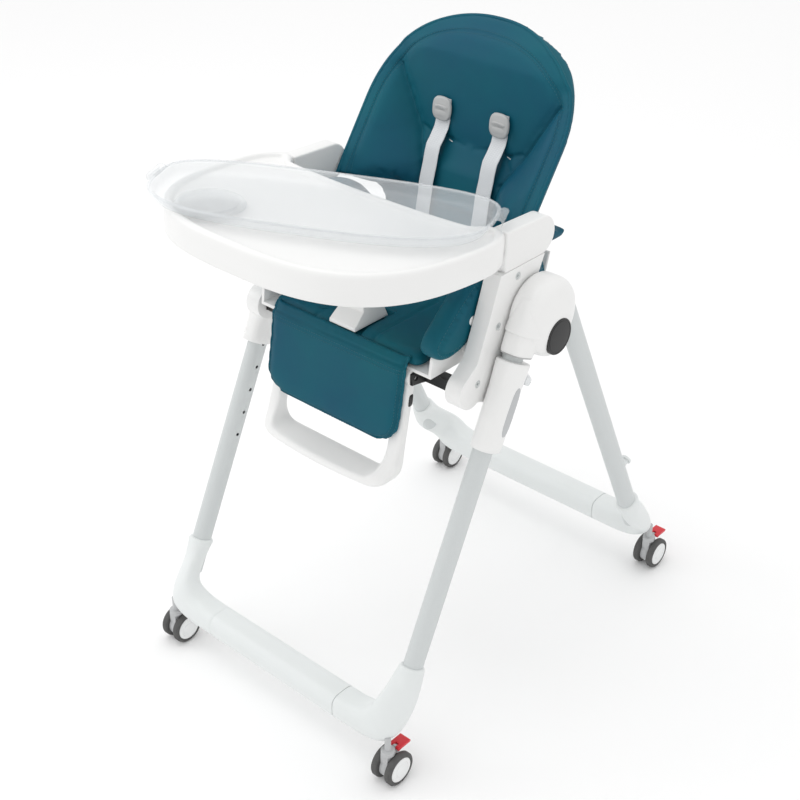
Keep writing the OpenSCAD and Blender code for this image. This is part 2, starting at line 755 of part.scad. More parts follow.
// Tray, drawn in its own sloping plane
module at_tray() {
    at_pivot() translate([0, tray_y, tray_z]) rotate([-tray_slope, 0, 0]) children();
}
function super(a, b, n, t) = [a * sign(cos(t)) * pow(abs(cos(t)), 2 / n), b * sign(sin(t)) * pow(abs(sin(t)), 2 / n)];
module tray_outline(inset) {
    a = tray_w / 2 - inset;
    b = tray_nose - inset;
    belly = 20 + inset;
    polygon(concat(
        [for (t = [180 : 5 : 360]) super(a, b, tray_curve, t) + [0, tray_mid]],
        [[a - 4, tray_mid + 34], [side_out - inset, tray_ears - inset], [side_in + inset, tray_ears - inset]],
        [for (t = [15 : 10 : 165]) [(side_in - 8) * cos(t), -belly + 16 * (1 - sin(t))]],
        [[-side_in - inset, tray_ears - inset], [-side_out + inset, tray_ears - inset], [-a + 4, tray_mid + 34]]));
}
module tray_body() {
    color(white) at_tray() difference() {
        linear_extrude(tray_h) tray_outline(0);
        translate([0, 0, -1]) linear_extrude(tray_floor + 1) tray_outline(tray_wall);
        translate([0, 0, tray_floor + tray_floor_t]) linear_extrude(tray_h) tray_outline(12);
        for (s = [-1, 1]) sided(s) translate([side_in + (side_t - rail_w) / 2 - move_gap, -20, -1])
            cube([rail_w + 2 * move_gap, 60, tray_floor]);
    }
}
module tray_latch() {
    color(clear) at_tray() translate([0, -tray_nose + tray_mid + 40, tray_floor - 12 - fit_gap]) {
        translate([-35, 0, 0]) cube([70, 20, 12]);
        translate([-8, 20, 4]) cube([16, 60, 6]);
    }
}
module insert_outline(inset) {
    a = insert_l / 2 - inset;
    front = insert_d * 0.62 - inset;
    rear = insert_d * 0.38 - inset;
    polygon(concat(
        [for (t = [180 : 6 : 360]) super(a, front, 2.6, t)],
        [for (t = [6 : 6 : 174]) super(a, rear, 3.4, t)]));
}
module dinner_tray() {
    rim_h = 18;
    sheet = 2;
    cup_r = 40;
    color(clear, 0.5) at_tray() translate([0, tray_mid - 74, tray_h + fit_gap]) rotate([0, 0, insert_turn])
        translate([0, 28, 0]) {
            difference() {
                linear_extrude(rim_h) insert_outline(0);
                translate([0, 0, sheet]) linear_extrude(rim_h) insert_outline(sheet);
            }
            translate([-178, -34, sheet]) difference() {
                cylinder(r = cup_r, h = 8);
                translate([0, 0, -1]) cylinder(r = cup_r - 3, h = 10);
            }
            for (k = [-1, 1]) translate([k * (insert_l / 2 + 4), 0, rim_h - 5]) cube([12, 44, 4], center = true);
        }
}

// Shifts the whole chair so that its middle is over the origin
centre_shift = -1.1;
module placed() {
    translate([0, centre_shift, 0]) children();
}
placed() {
    front_leg(1);  // front_leg_left
    front_leg(-1);  // front_leg_right
    foot(1, true);  // front_foot_left
    foot(-1, true);  // front_foot_right
    base_bar(-1);  // front_base_bar
    hub(1);  // hub_left
    hub(-1);  // hub_right
    pivot_bolts();
    rear_leg(1);  // rear_leg_left
    rear_leg(-1);  // rear_leg_right
    rear_knuckle(1);  // rear_knuckle_left
    rear_knuckle(-1);  // rear_knuckle_right
    foot(1, false);  // rear_foot_left
    foot(-1, false);  // rear_foot_right
    base_bar(1);  // rear_base_bar
    tray_hooks();
    fold_button(1);  // fold_button_left
    fold_button(-1);  // fold_button_right
    slider(1);  // slider_left
    slider(-1);  // slider_right
    slider_grips();
    side_frame(1);  // side_frame_left
    side_frame(-1);  // side_frame_right
    armrest(1);  // armrest_left
    armrest(-1);  // armrest_right
    cross_tube();
    side_screws();
    seat_shell();
    seat_cushion();
    crotch_post();
    lap_belt();
    harness_buckle();
    height_lever(1);  // height_lever_left
    height_lever(-1);  // height_lever_right
    back_shell();
    back_cushion();
    shoulder_straps();
    strap_adjusters();
    recline_lever();
    leg_rest_frame();
    footboard();
    calf_pad();
    leg_rest_latch();
    tray_body();
    tray_latch();
    dinner_tray();
    castor_body(1, -1);  // castor_body_front_left
    castor_wheels(1, -1);  // castor_wheels_front_left
    brake_pedal(1, -1);  // brake_pedal_front_left
    castor_body(-1, -1);  // castor_body_front_right
    castor_wheels(-1, -1);  // castor_wheels_front_right
    brake_pedal(-1, -1);  // brake_pedal_front_right
    castor_body(1, 1);  // castor_body_rear_left
    castor_wheels(1, 1);  // castor_wheels_rear_left
    brake_pedal(1, 1);  // brake_pedal_rear_left
    castor_body(-1, 1);  // castor_body_rear_right
    castor_wheels(-1, 1);  // castor_wheels_rear_right
    brake_pedal(-1, 1);  // brake_pedal_rear_right
}
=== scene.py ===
"""Looks of a folding baby high chair: padded seat, back and flap, moulded shells, tray and castors."""

import math

import bmesh
import bpy
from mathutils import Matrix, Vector
from mathutils.bvhtree import BVHTree


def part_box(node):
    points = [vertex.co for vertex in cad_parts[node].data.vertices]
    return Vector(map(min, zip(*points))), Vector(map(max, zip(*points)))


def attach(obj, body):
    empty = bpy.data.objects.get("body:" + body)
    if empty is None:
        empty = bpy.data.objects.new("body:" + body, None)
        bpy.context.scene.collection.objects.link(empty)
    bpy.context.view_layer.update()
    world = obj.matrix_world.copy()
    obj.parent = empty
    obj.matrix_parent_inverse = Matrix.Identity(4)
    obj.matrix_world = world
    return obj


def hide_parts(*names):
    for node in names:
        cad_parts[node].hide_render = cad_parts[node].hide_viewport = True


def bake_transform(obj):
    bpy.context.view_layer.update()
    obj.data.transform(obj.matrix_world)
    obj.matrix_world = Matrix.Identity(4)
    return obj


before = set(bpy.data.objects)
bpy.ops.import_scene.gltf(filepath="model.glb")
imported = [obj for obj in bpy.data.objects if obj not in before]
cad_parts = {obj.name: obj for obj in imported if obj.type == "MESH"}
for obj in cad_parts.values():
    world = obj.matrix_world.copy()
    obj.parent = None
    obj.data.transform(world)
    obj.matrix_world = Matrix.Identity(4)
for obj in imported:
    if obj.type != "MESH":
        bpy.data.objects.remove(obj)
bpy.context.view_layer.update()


# Camera: a lens of 63 mm, in front of the chair at the child's left, looking down at the tray.
view_camera = bpy.data.objects.new("view_camera", bpy.data.cameras.new("view_camera"))
view_camera.location = (1.285, -1.4941, 1.642)
view_camera.rotation_euler = (math.radians(58.3), 0, math.radians(41.8))
view_camera.data.lens = 62.95
view_camera.data.sensor_width = 36
bpy.context.scene.collection.objects.link(view_camera)
bpy.context.scene.camera = view_camera


# Studio: a white paper floor and large soft boxes over and in front of the chair.
# Matt paint and paper give even light with only a faint shadow under the feet.
def to_linear(shade):
    """The linear colour of an sRGB hex value such as 1b5566."""
    parts = [int(shade[i : i + 2], 16) / 255 for i in (0, 2, 4)]
    return [p / 12.92 if p <= 0.04045 else ((p + 0.055) / 1.055) ** 2.4 for p in parts] + [1]


def add(tree, kind, settings=None, **links):
    """Adds a node with its settings, and its inputs as values or as other nodes' sockets."""
    node = tree.nodes.new(kind)
    for key, value in (settings or {}).items():
        setattr(node, key, value)
    for key, value in links.items():
        socket = node.inputs[int(key[1:]) if key[0] == "i" and key[1:].isdigit() else key.replace("_", " ")]
        if isinstance(value, bpy.types.NodeSocket):
            tree.links.new(value, socket)
        else:
            socket.default_value = value
    return node


def new_material(name):
    """An empty node material, with its tree and object coordinates."""
    material = bpy.data.materials.new(name)
    material.use_nodes = True
    tree = material.node_tree
    tree.nodes.clear()
    place = add(tree, "ShaderNodeTexCoord").outputs["Object"]
    return material, tree, place


def paper():
    material, tree, place = new_material("matt_white_paper")
    fibre = add(tree, "ShaderNodeTexNoise", Vector=place, Scale=400.0, Detail=2.0)
    bump = add(tree, "ShaderNodeBump", Height=fibre.outputs["Fac"], Strength=0.05, Distance=0.0005)
    body = add(tree, "ShaderNodeBsdfPrincipled", Base_Color=to_linear("fbfbfb"), Roughness=0.95,
               Normal=bump.outputs["Normal"])
    add(tree, "ShaderNodeOutputMaterial", Surface=body.outputs[0])
    return material


FLOOR_SIZE = 30
SIDES = ((1, "left"), (-1, "right"))
bpy.ops.object.select_all(action="DESELECT")
bpy.ops.mesh.primitive_plane_add(size=FLOOR_SIZE, location=(0, 0, 0))
floor = bpy.context.object
floor.name = "floor"
floor.data.materials.append(paper())

sky = bpy.data.worlds.new("white_studio")
sky.use_nodes = True
sky.node_tree.nodes["Background"].inputs["Color"].default_value = (1, 1, 1, 1)
sky.node_tree.nodes["Background"].inputs["Strength"].default_value = 0.97
bpy.context.scene.world = sky
bpy.context.scene.view_settings.view_transform = "Standard"

SOFT_BOXES = {
    "soft_box_above": ((-0.7, -0.5, 3.2), 2.6, 16),
    "soft_box_left": ((-2.2, -1.6, 2.0), 1.6, 9),
}
for name, (place, size, power) in SOFT_BOXES.items():
    light = bpy.data.lights.new(name, "AREA")
    light.shape = "DISK"
    light.size = size
    light.energy = power
    box = bpy.data.objects.new(name, light)
    box.location = place
    box.rotation_euler = (Vector((0, 0, 0.6)) - Vector(place)).to_track_quat("-Z", "Y").to_euler()
    bpy.context.scene.collection.objects.link(box)


# Legs: oval steel tubes, powder painted silver grey. The paint has a fine metallic fleck.
def painted_steel(name, shade, roughness):
    material, tree, place = new_material(name)
    fleck = add(tree, "ShaderNodeTexNoise", Vector=place, Scale=900.0, Detail=2.0)
    peel = add(tree, "ShaderNodeTexNoise", Vector=place, Scale=260.0, Detail=1.0)
    rough = add(tree, "ShaderNodeMapRange", Value=fleck.outputs["Fac"], To_Min=roughness - 0.06,
                To_Max=roughness + 0.08)
    tint = add(tree, "ShaderNodeMixRGB", Fac=fleck.outputs["Fac"], Color1=to_linear(shade[0]),
               Color2=to_linear(shade[1]))
    bump = add(tree, "ShaderNodeBump", Height=peel.outputs["Fac"], Strength=0.06, Distance=0.0004)
    body = add(tree, "ShaderNodeBsdfPrincipled", Base_Color=tint.outputs[0], Metallic=0.25,
               Roughness=rough.outputs[0], Coat_Weight=0.15, Coat_Roughness=0.3,
               Normal=bump.outputs["Normal"])
    add(tree, "ShaderNodeOutputMaterial", Surface=body.outputs[0])
    return material


# Moulded polypropylene: light scatters just under the skin, with a fine spark-eroded grain.
def moulded_plastic(name, shade, roughness, grain_mm=0.8, depth=0.08):
    material, tree, place = new_material(name)
    grain = add(tree, "ShaderNodeTexNoise", Vector=place, Scale=1000 / grain_mm, Detail=3.0)
    flow = add(tree, "ShaderNodeTexNoise", Vector=place, Scale=9.0, Detail=2.0)
    tint = add(tree, "ShaderNodeMixRGB", Fac=flow.outputs["Fac"], Color1=to_linear(shade[0]),
               Color2=to_linear(shade[1]))
    rough = add(tree, "ShaderNodeMapRange", Value=flow.outputs["Fac"], To_Min=roughness - 0.05,
                To_Max=roughness + 0.05)
    bump = add(tree, "ShaderNodeBump", Height=grain.outputs["Fac"], Strength=depth, Distance=0.0003)
    body = add(tree, "ShaderNodeBsdfPrincipled", Base_Color=tint.outputs[0], Roughness=rough.outputs[0],
               IOR=1.49, Normal=bump.outputs["Normal"])
    add(tree, "ShaderNodeOutputMaterial", Surface=body.outputs[0])
    return material


silver_paint = painted_steel("powder_painted_steel", ("c6caca", "d0d4d4"), 0.42)
base_plastic = moulded_plastic("satin_polypropylene_base", ("dee2e1", "e4e7e7"), 0.42)
white_plastic = moulded_plastic("gloss_polypropylene_white", ("e9e9e8", "eeeeed"), 0.3)
black_plastic = moulded_plastic("moulded_nylon_black", ("0e0e0f", "151516"), 0.42)
grey_plastic = moulded_plastic("acetal_light_grey", ("adaeae", "b7b8b8"), 0.36)
castor_plastic = moulded_plastic("nylon_castor_grey", ("b4b6b7", "bdbebf"), 0.4)
red_plastic = moulded_plastic("acetal_red", ("cc2430", "d62c37"), 0.32)
grip_rubber = moulded_plastic("soft_touch_elastomer", ("b9bbbd", "c0c2c3"), 0.6, 0.6, 0.2)


def paint_node(name, material):
    """Gives a CAD node its finish."""
    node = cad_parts[name]
    node.data.materials.clear()
    node.data.materials.append(material)


for name in ("front_leg_left", "front_leg_right", "rear_leg_left", "rear_leg_right", "pivot_bolts",
             "side_screws"):
    paint_node(name, silver_paint)
for name in ("front_base_bar", "rear_base_bar", "tray_hooks"):
    paint_node(name, base_plastic)
for name in ("rear_knuckle_left", "rear_knuckle_right"):
    paint_node(name, white_plastic)
paint_node("cross_tube", black_plastic)


# Feet: one moulding per leg, from a tapered collar on the tube, round the corner over the
# castor, to the base bar. Injection moulded polypropylene, with a wide hollow inside corner.
def drawn(name, rings, material, smooth=40):
    """A closed form: a disc laid on the first ring and extruded through the others."""
    bpy.ops.object.select_all(action="DESELECT")
    bpy.ops.mesh.primitive_circle_add(vertices=len(rings[0]), fill_type="NGON")
    piece = bpy.context.object
    piece.name = name
    bpy.ops.object.mode_set(mode="EDIT")
    mesh = bmesh.from_edit_mesh(piece.data)
    order = mesh.verts.layers.int.new("order")
    for number, vert in enumerate(mesh.verts):
        vert[order] = number
    bmesh.update_edit_mesh(piece.data)
    for step, ring in enumerate(rings):
        if step:
            bpy.ops.mesh.extrude_region_move()
        mesh = bmesh.from_edit_mesh(piece.data)
        order = mesh.verts.layers.int["order"]
        for vert in mesh.verts:
            if vert.select:
                vert.co = ring[vert[order]]
        bmesh.update_edit_mesh(piece.data)
    bpy.ops.mesh.select_all(action="SELECT")
    bpy.ops.mesh.normals_make_consistent(inside=False)
    bpy.ops.object.mode_set(mode="OBJECT")
    piece.location = (0, 0, 0)
    bpy.ops.object.shade_smooth_by_angle(angle=math.radians(smooth))
    piece.data.materials.append(material)
    return piece


def chosen(piece):
    """Makes a piece the active object and the only one selected."""
    bpy.ops.object.select_all(action="DESELECT")
    piece.select_set(True)
    bpy.context.view_layer.objects.active = piece


def modified(piece, kind, **settings):
    """Adds a modifier and applies it."""
    chosen(piece)
    modifier = piece.modifiers.new(kind.lower(), kind)
    for key, value in settings.items():
        setattr(modifier, key, value)
    bpy.ops.object.modifier_apply(modifier=modifier.name)
    return piece


def rounded_ring(middle, across, deep, power=2.0, count=32):
    """Points of an oval in the plane of two half axes; a higher power squares its corners."""
    points = []
    for i in range(count):
        turn = math.tau * i / count
        c, s = math.cos(turn), math.sin(turn)
        points.append(middle + across * math.copysign(abs(c) ** (2 / power), c)
                      + deep * math.copysign(abs(s) ** (2 / power), s))
    return points


def eased(t):
    t = min(max(t, 0), 1)
    return t * t * (3 - 2 * t)


def bent(points, t):
    """A point on the Bezier curve of four points."""
    a, b, c, d = (Vector(p) for p in points)
    return a * (1 - t) ** 3 + b * 3 * t * (1 - t) ** 2 + c * 3 * t * t * (1 - t) + d * t ** 3


# How far each leg runs along Y for each step up, and where its collar stands beside the bar.
LEG_LEAN = {"front": 0.4818, "rear": -0.4882}
COLLAR_SHIFT = {"front": 0.051, "rear": -0.068}
FOOT_STEPS = 26
COLLAR_DEEP = 0.022


def foot(side, front):
    """One foot, from the collar down and round into the base bar, and its seam at the bar."""
    end = "front" if front else "rear"
    edge = "left" if side > 0 else "right"
    low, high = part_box(f"{end}_foot_{edge}")
    bar_low, bar_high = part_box(f"{end}_base_bar")
    bar_y = (bar_low.y + bar_high.y) / 2
    half_bar = (bar_high.y - bar_low.y) / 2
    lean = LEG_LEAN[end]
    collar_y = bar_y + COLLAR_SHIFT[end]
    collar_z = high.z - 0.008
    rings = []
    for i in range(FOOT_STEPS + 1):
        t = i / FOOT_STEPS
        turn = t * math.pi / 2
        inner = bent(((0.221, 0, collar_z), (0.219, 0, 0.136), (0.206, 0, 0.1125),
                      (0.148, 0, bar_high.z)), t)
        widen = 0.109 + 0.010 * math.sin(turn)
        outer = Vector((0.150 + widen * math.cos(turn) ** 0.46, 0,
                        collar_z - (collar_z - bar_low.z) * math.sin(turn) ** 0.46))
        middle = (inner + outer) / 2
        leg_y = collar_y + lean * (middle.z - collar_z)
        middle.y = leg_y + (bar_y - leg_y) * eased(t * 1.7)
        across = (outer - inner) / 2
        tilt = (1 - eased(t * 1.6)) * math.atan(lean)
        deep = Vector((0, math.cos(tilt), -math.sin(tilt)))
        deep *= COLLAR_DEEP + (half_bar - COLLAR_DEEP) * eased(t)
        rings.append((middle, across, deep, 2.1 + 1.2 * eased(t)))
    first = rings[0]
    lip = Vector((0, lean, 1)).normalized()
    rings.insert(0, (first[0] + lip * 0.003, first[1] * 0.93, first[2] * 0.93, 2.1))
    rings.insert(0, (first[0] + lip * 0.004, first[1] * 0.86, first[2] * 0.86, 2.1))
    last = rings[-1]
    seam = bar_high.x
    for x, size in ((seam + 0.0022, 1.0), (seam + 0.0008, 0.985), (seam + 0.0003, 0.96)):
        middle = Vector((x, bar_y, (bar_low.z + bar_high.z) / 2))
        rings.append((middle, Vector((0, 0, -(bar_high.z - bar_low.z) / 2 * size)), last[2] * size, last[3]))
    flip = Vector((side, 1, 1))
    shapes = [[p * flip for p in rounded_ring(m, a, d, n, 40)] for m, a, d, n in rings]
    piece = drawn(f"foot_{end}_{edge}", shapes, base_plastic, 50)
    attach(piece, f"{end}_frame")
    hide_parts(f"{end}_foot_{edge}")


for side in (1, -1):
    foot(side, True)
    foot(side, False)


# Castors: a grey nylon body, twin wheels with a dark soft tyre on a pale disc, and a red
# brake tab at the back. The tyre is moulded over the disc.
def tyre_rubber():
    material, tree, place = new_material("overmoulded_rubber_tyre")
    dust = add(tree, "ShaderNodeTexNoise", Vector=place, Scale=120.0, Detail=4.0)
    tint = add(tree, "ShaderNodeMixRGB", Fac=dust.outputs["Fac"], Color1=to_linear("464646"),
               Color2=to_linear("5a5a59"))
    bump = add(tree, "ShaderNodeBump", Height=dust.outputs["Fac"], Strength=0.15, Distance=0.0003)
    body = add(tree, "ShaderNodeBsdfPrincipled", Base_Color=tint.outputs[0], Roughness=0.72,
               Normal=bump.outputs["Normal"])
    add(tree, "ShaderNodeOutputMaterial", Surface=body.outputs[0])
    return material


rubber = tyre_rubber()
disc_plastic = moulded_plastic("nylon_wheel_disc", ("e6e7e7", "eeefef"), 0.38)


def turned(name, axle, profile, material, count=48, smooth=35):
    """A form turned about an axis along X, from (x, radius) points beside the axle's middle."""
    rings = []
    for x, radius in profile:
        rings.append([axle + Vector((x, radius * math.cos(math.tau * i / count),
                                     radius * math.sin(math.tau * i / count))) for i in range(count)])
    return drawn(name, rings, material, smooth)


def softened(name, node, body, width, material, segments=3, angle=32):
    """A copy of a CAD node with its flat faces joined and its edges rounded."""
    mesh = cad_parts[node].data.copy()
    piece = bpy.data.objects.new(name, mesh)
    bpy.context.scene.collection.objects.link(piece)
    mesh.materials.clear()
    mesh.materials.append(material)
    chosen(piece)
    bpy.ops.object.mode_set(mode="EDIT")
    bpy.ops.mesh.select_all(action="SELECT")
    bpy.ops.mesh.remove_doubles(threshold=0.00002)
    if width:
        bpy.ops.mesh.dissolve_limited(angle_limit=math.radians(1.5))
    bpy.ops.mesh.normals_make_consistent(inside=False)
    bpy.ops.object.mode_set(mode="OBJECT")
    if width:
        modified(piece, "BEVEL", width=width, segments=segments, limit_method="ANGLE",
                 angle_limit=math.radians(angle), harden_normals=False, use_clamp_overlap=True)
    bpy.ops.object.shade_smooth_by_angle(angle=math.radians(35))
    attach(piece, body)
    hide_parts(node)
    return piece


for end in ("front", "rear"):
    for edge in ("left", "right"):
        place = f"{end}_{edge}"
        low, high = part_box(f"castor_wheels_{place}")
        axle = (low + high) / 2
        r, half = (high.z - low.z) / 2, (high.x - low.x) / 2
        for out in (1, -1):
            inner, width = 0.0075, half - 0.0075
            tyre = [(inner, r - 0.010), (inner, r - 0.004), (inner + 0.0012, r - 0.0012), (inner + 0.003, r),
                    (half - 0.003, r), (half - 0.0012, r - 0.0012), (half, r - 0.0035), (half, r - 0.0058),
                    (half - 0.001, r - 0.0062), (half - 0.001, r - 0.012)]
            disc = [(inner + 0.0006, 0.006), (inner + 0.0006, r - 0.007), (half - 0.0014, r - 0.007),
                    (half - 0.0003, r - 0.0075), (half + 0.0002, r - 0.009), (half + 0.0004, 0.016),
                    (half - 0.0008, 0.0145), (half - 0.0008, 0.011), (half + 0.0004, 0.0098),
                    (half + 0.0006, 0.005)]
            name = f"{place}_{'outer' if (out > 0) == (edge == 'left') else 'inner'}"
            for part, profile, finish, slot in (("tyre", tyre, rubber, "tyre"),
                                                ("wheel_disc", disc, disc_plastic, "tyre")):
                wheel = turned(f"{part}_{name}", axle, [(out * x, q) for x, q in profile], finish)
                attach(wheel, f"wheels_{place}")
                if part == "tyre" and name.endswith("outer"):
                    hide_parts(f"castor_wheels_{place}")
        softened(f"castor_fork_{place}", f"castor_body_{place}", f"castor_{place}", 0.0012,
                 castor_plastic, 2)
        softened(f"brake_tab_{place}", f"brake_pedal_{place}", f"brake_{place}", 0.0016,
                 red_plastic)


# Fold hubs: a rounded dome moulded in two halves over the fold bolt, a socket for the front
# leg below its lip, and the black release button in its face.
bolt_low, bolt_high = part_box("pivot_bolts")
PIVOT = (bolt_low + bolt_high) / 2


def at(x, y, z):
    """A point given in millimetres from the middle between the fold pivots."""
    return Vector((x, y, z)) / 1000 + PIVOT


LEAN = math.atan(LEG_LEAN["front"])
LEG_FRONT = -62
DOME = ((-8, 32, 60), (0, 1, 38))
DOME_PROFILE = ((224.5, 6), (225.5, 2.5), (228, 0.6), (232, 0), (248, 0), (254, 0.9), (259, 2.8), (263, 6),
                (266, 10.5), (268.2, 16), (269.4, 22), (270, 29))


def dome_ring(side, x, inset):
    """The hub's outline round its dome and its button, drawn in by an inset."""
    ring = []
    for i in range(96):
        c, s = math.cos(math.tau * i / 96), math.sin(math.tau * i / 96)
        y0, z0, r0 = max(DOME, key=lambda d: d[0] * c + d[1] * s + d[2])
        ring.append(at(side * x, y0 + (r0 - inset) * c, z0 + (r0 - inset) * s))
    return ring


def on_leg(side, x, y, up):
    """A point beside the front leg, at a height along it from the fold pivots' level."""
    return at(side * x, LEG_FRONT + y * math.cos(LEAN) + up * math.sin(LEAN),
              up * math.cos(LEAN) - y * math.sin(LEAN))


def leg_ring(side, middle_x, half_x, half_y, up, power=4.0):
    middle = on_leg(side, middle_x, 0, up)
    deep = on_leg(side, middle_x, half_y, up) - middle
    return rounded_ring(middle, Vector((half_x / 1000, 0, 0)), deep, power, 40)


# Sections along the leg as (height, half width, half depth), in millimetres.
HUB_PARTS = (
    ("socket", 244, 3.2, white_plastic, ((-11.6, 17, 21.6), (-12, 18.6, 23.4), (-11, 19.8, 24.6),
                                         (-2, 20.2, 25.2), (20, 20.8, 26), (48, 20.8, 26))),
    ("lip", 245, 2.6, white_plastic, ((18, 21, 26.6), (18.2, 23.0, 28.6), (19.6, 24, 29.8), (22, 24.2, 30.2),
                                      (40, 22.6, 29), (70, 17, 24))),
    ("socket_ring", 244, 3.2, grey_plastic, ((-13.4, 16.8, 21), (-13.8, 18.6, 23.4), (-13, 19.2, 24),
                                             (-12, 19.2, 24), (-11.6, 17, 21))),
)

for side, edge in SIDES:
    dome = drawn(f"hub_dome_{edge}", [dome_ring(side, x, inset) for x, inset in DOME_PROFILE],
                 white_plastic, 60)
    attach(dome, "front_frame")
    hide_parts(f"hub_{edge}")
    for part, x, power, finish, rows in HUB_PARTS:
        piece = drawn(f"hub_{part}_{edge}", [leg_ring(side, x, hx, hy, up, power) for up, hx, hy in rows],
                      finish, 45)
        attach(piece, "front_frame")
    face = [(265, 28.6), (270.2, 28.6), (270.9, 28.2), (271.2, 27.4), (271.2, 26.2), (270.7, 25.6),
            (270.7, 24.8),
            (271.4, 24.0), (271.9, 16), (272, 2)]
    button = turned(f"fold_release_{edge}", PIVOT, [(side * x / 1000, q / 1000) for x, q in face],
                    black_plastic, 72)
    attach(button, f"fold_release_{edge}")
    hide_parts(f"fold_button_{edge}")


# Seat carriage: sleeves on the front legs with soft grips, clear height levers behind them,
# and moulded side frames with bull-nosed armrests, screwed together.
def clear_polymer(name, shade, roughness, cloud):
    """Frosted polypropylene: light passes through it, softened by the matt inside face."""
    material, tree, place = new_material(name)
    frost = add(tree, "ShaderNodeTexNoise", Vector=place, Scale=700.0, Detail=2.0)
    drift = add(tree, "ShaderNodeTexNoise", Vector=place, Scale=14.0, Detail=2.0)
    rough = add(tree, "ShaderNodeMapRange", Value=drift.outputs["Fac"], To_Min=roughness - 0.04,
                To_Max=roughness + 0.06)
    bump = add(tree, "ShaderNodeBump", Height=frost.outputs["Fac"], Strength=0.06, Distance=0.0003)
    body = add(tree, "ShaderNodeBsdfPrincipled", Base_Color=to_linear(shade), Roughness=rough.outputs[0],
               IOR=1.45, Alpha=cloud, Normal=bump.outputs["Normal"])
    add(tree, "ShaderNodeOutputMaterial", Surface=body.outputs[0])
    return material


lever_clear = clear_polymer("clear_polycarbonate_lever", "e3e6e8", 0.22, 0.5)
for edge in ("left", "right"):
    softened(f"side_panel_{edge}", f"side_frame_{edge}", "carriage", 0.007,
             white_plastic, 4)
    softened(f"arm_{edge}", f"armrest_{edge}", "carriage", 0.0065, white_plastic, 5)
    softened(f"height_tab_{edge}", f"height_lever_{edge}", f"height_release_{edge}", 0.0012,
             lever_clear)

SLEEVE = ((-159.2, 17.4, 21.4), (-159.6, 18.6, 22.6), (-158.4, 19.5, 23.5), (-150, 19.9, 24), (-64, 20.4, 25),
          (-44, 20.8, 27), (-28, 21, 28.6), (-24, 20.8, 28.6), (-22.6, 20, 27.6), (-22.2, 18.6, 26))
GRIP = ((-134, 0.30, 0.90), (-132, 0.52, 0.965), (-127, 0.78, 0.99), (-118, 0.94, 1.0), (-104, 1.0, 1.0),
        (-82, 1.0, 1.0), (-70, 0.94, 1.0), (-62, 0.78, 0.99), (-58, 0.52, 0.965), (-56, 0.30, 0.90))


def grip_ring(side, up, size, proud):
    middle = on_leg(side, 246, 5, up)
    deep = on_leg(side, 246, 5 + 16.5 * size, up) - middle
    return rounded_ring(middle, Vector((0.0186 * proud, 0, 0)), deep, 2.6, 36)


for side, edge in SIDES:
    sleeve = drawn(f"sleeve_{edge}", [leg_ring(side, 243, hx, hy, up, 2.7) for up, hx, hy in SLEEVE],
                   white_plastic, 50)
    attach(sleeve, "carriage")
    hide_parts(f"slider_{edge}")
    grip = drawn(f"sleeve_grip_{edge}", [grip_ring(side, *row) for row in GRIP], grip_rubber, 50)
    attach(grip, "carriage")
    if side > 0:
        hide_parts("slider_grips")


# Seat bucket, crotch post and buckle: moulded polypropylene, edges rolled.
softened("bucket", "seat_shell", "carriage", 0.0018, white_plastic)
softened("crotch_post_cover", "crotch_post", "carriage", 0.005, white_plastic, 4)
softened("buckle", "harness_buckle", "carriage", 0.0018, grey_plastic)
softened("recline_handle", "recline_lever", "recline_handle", 0.003, white_plastic, 4)
softened("leg_rest_catch_bar", "leg_rest_latch", "leg_rest_catch", 0.0012, grey_plastic)
softened("tray_catch", "tray_latch", "tray_catch", 0.0015, grey_plastic)


# Upholstery: a polyurethane coated cloth over wadding, welded and stitched. The coating
# has a fine leather grain with a soft satin sheen. Its colour varies at random, with painted shade in its
# slack folds.
def coated_cloth():
    material, tree, place = new_material("pu_coated_cloth_teal")
    grain = add(tree, "ShaderNodeTexVoronoi", {"feature": "SMOOTH_F1"}, Vector=place, Scale=620.0)
    slack_folds = add(tree, "ShaderNodeTexNoise", Vector=place, Scale=24.0, Detail=4.0)
    broad = add(tree, "ShaderNodeTexNoise", Vector=place, Scale=5.0, Detail=1.0)
    # Painted shade: the slack folds' noise also darkens the teal in the folds' hollows, on top of a broad
    # random tone.
    tone_and_fold_shade = add(tree, "ShaderNodeMath", {"operation": "MULTIPLY_ADD"}, i0=slack_folds.outputs["Fac"], i1=0.3,
                i2=broad.outputs["Fac"])
    tone_and_fold_shade_range = add(tree, "ShaderNodeMapRange", Value=tone_and_fold_shade.outputs[0], From_Min=0.45, From_Max=0.85)
    tint = add(tree, "ShaderNodeMixRGB", Fac=tone_and_fold_shade_range.outputs[0], Color1=to_linear("0d4e64"),
               Color2=to_linear("0b5b68"))
    rough = add(tree, "ShaderNodeMapRange", Value=slack_folds.outputs["Fac"], To_Min=0.42, To_Max=0.56)
    skin = add(tree, "ShaderNodeBump", Height=grain.outputs["Distance"], Strength=0.16, Distance=0.0004)
    slack = add(tree, "ShaderNodeBump", Height=slack_folds.outputs["Fac"], Strength=0.12, Distance=0.004,
                Normal=skin.outputs["Normal"])
    body = add(tree, "ShaderNodeBsdfPrincipled", Base_Color=tint.outputs[0], Roughness=rough.outputs[0],
               Specular_IOR_Level=0.16, Normal=slack.outputs["Normal"])
    add(tree, "ShaderNodeOutputMaterial", Surface=body.outputs[0])
    return material


def sewing_thread():
    material, tree, place = new_material("bonded_polyester_thread")
    ply = add(tree, "ShaderNodeTexNoise", Vector=place, Scale=1500.0, Detail=1.0)
    tint = add(tree, "ShaderNodeMixRGB", Fac=ply.outputs["Fac"], Color1=to_linear("0b3846"),
               Color2=to_linear("1f7180"))
    body = add(tree, "ShaderNodeBsdfPrincipled", Base_Color=tint.outputs[0], Roughness=0.55)
    add(tree, "ShaderNodeOutputMaterial", Surface=body.outputs[0])
    return material


teal = coated_cloth()
thread = sewing_thread()


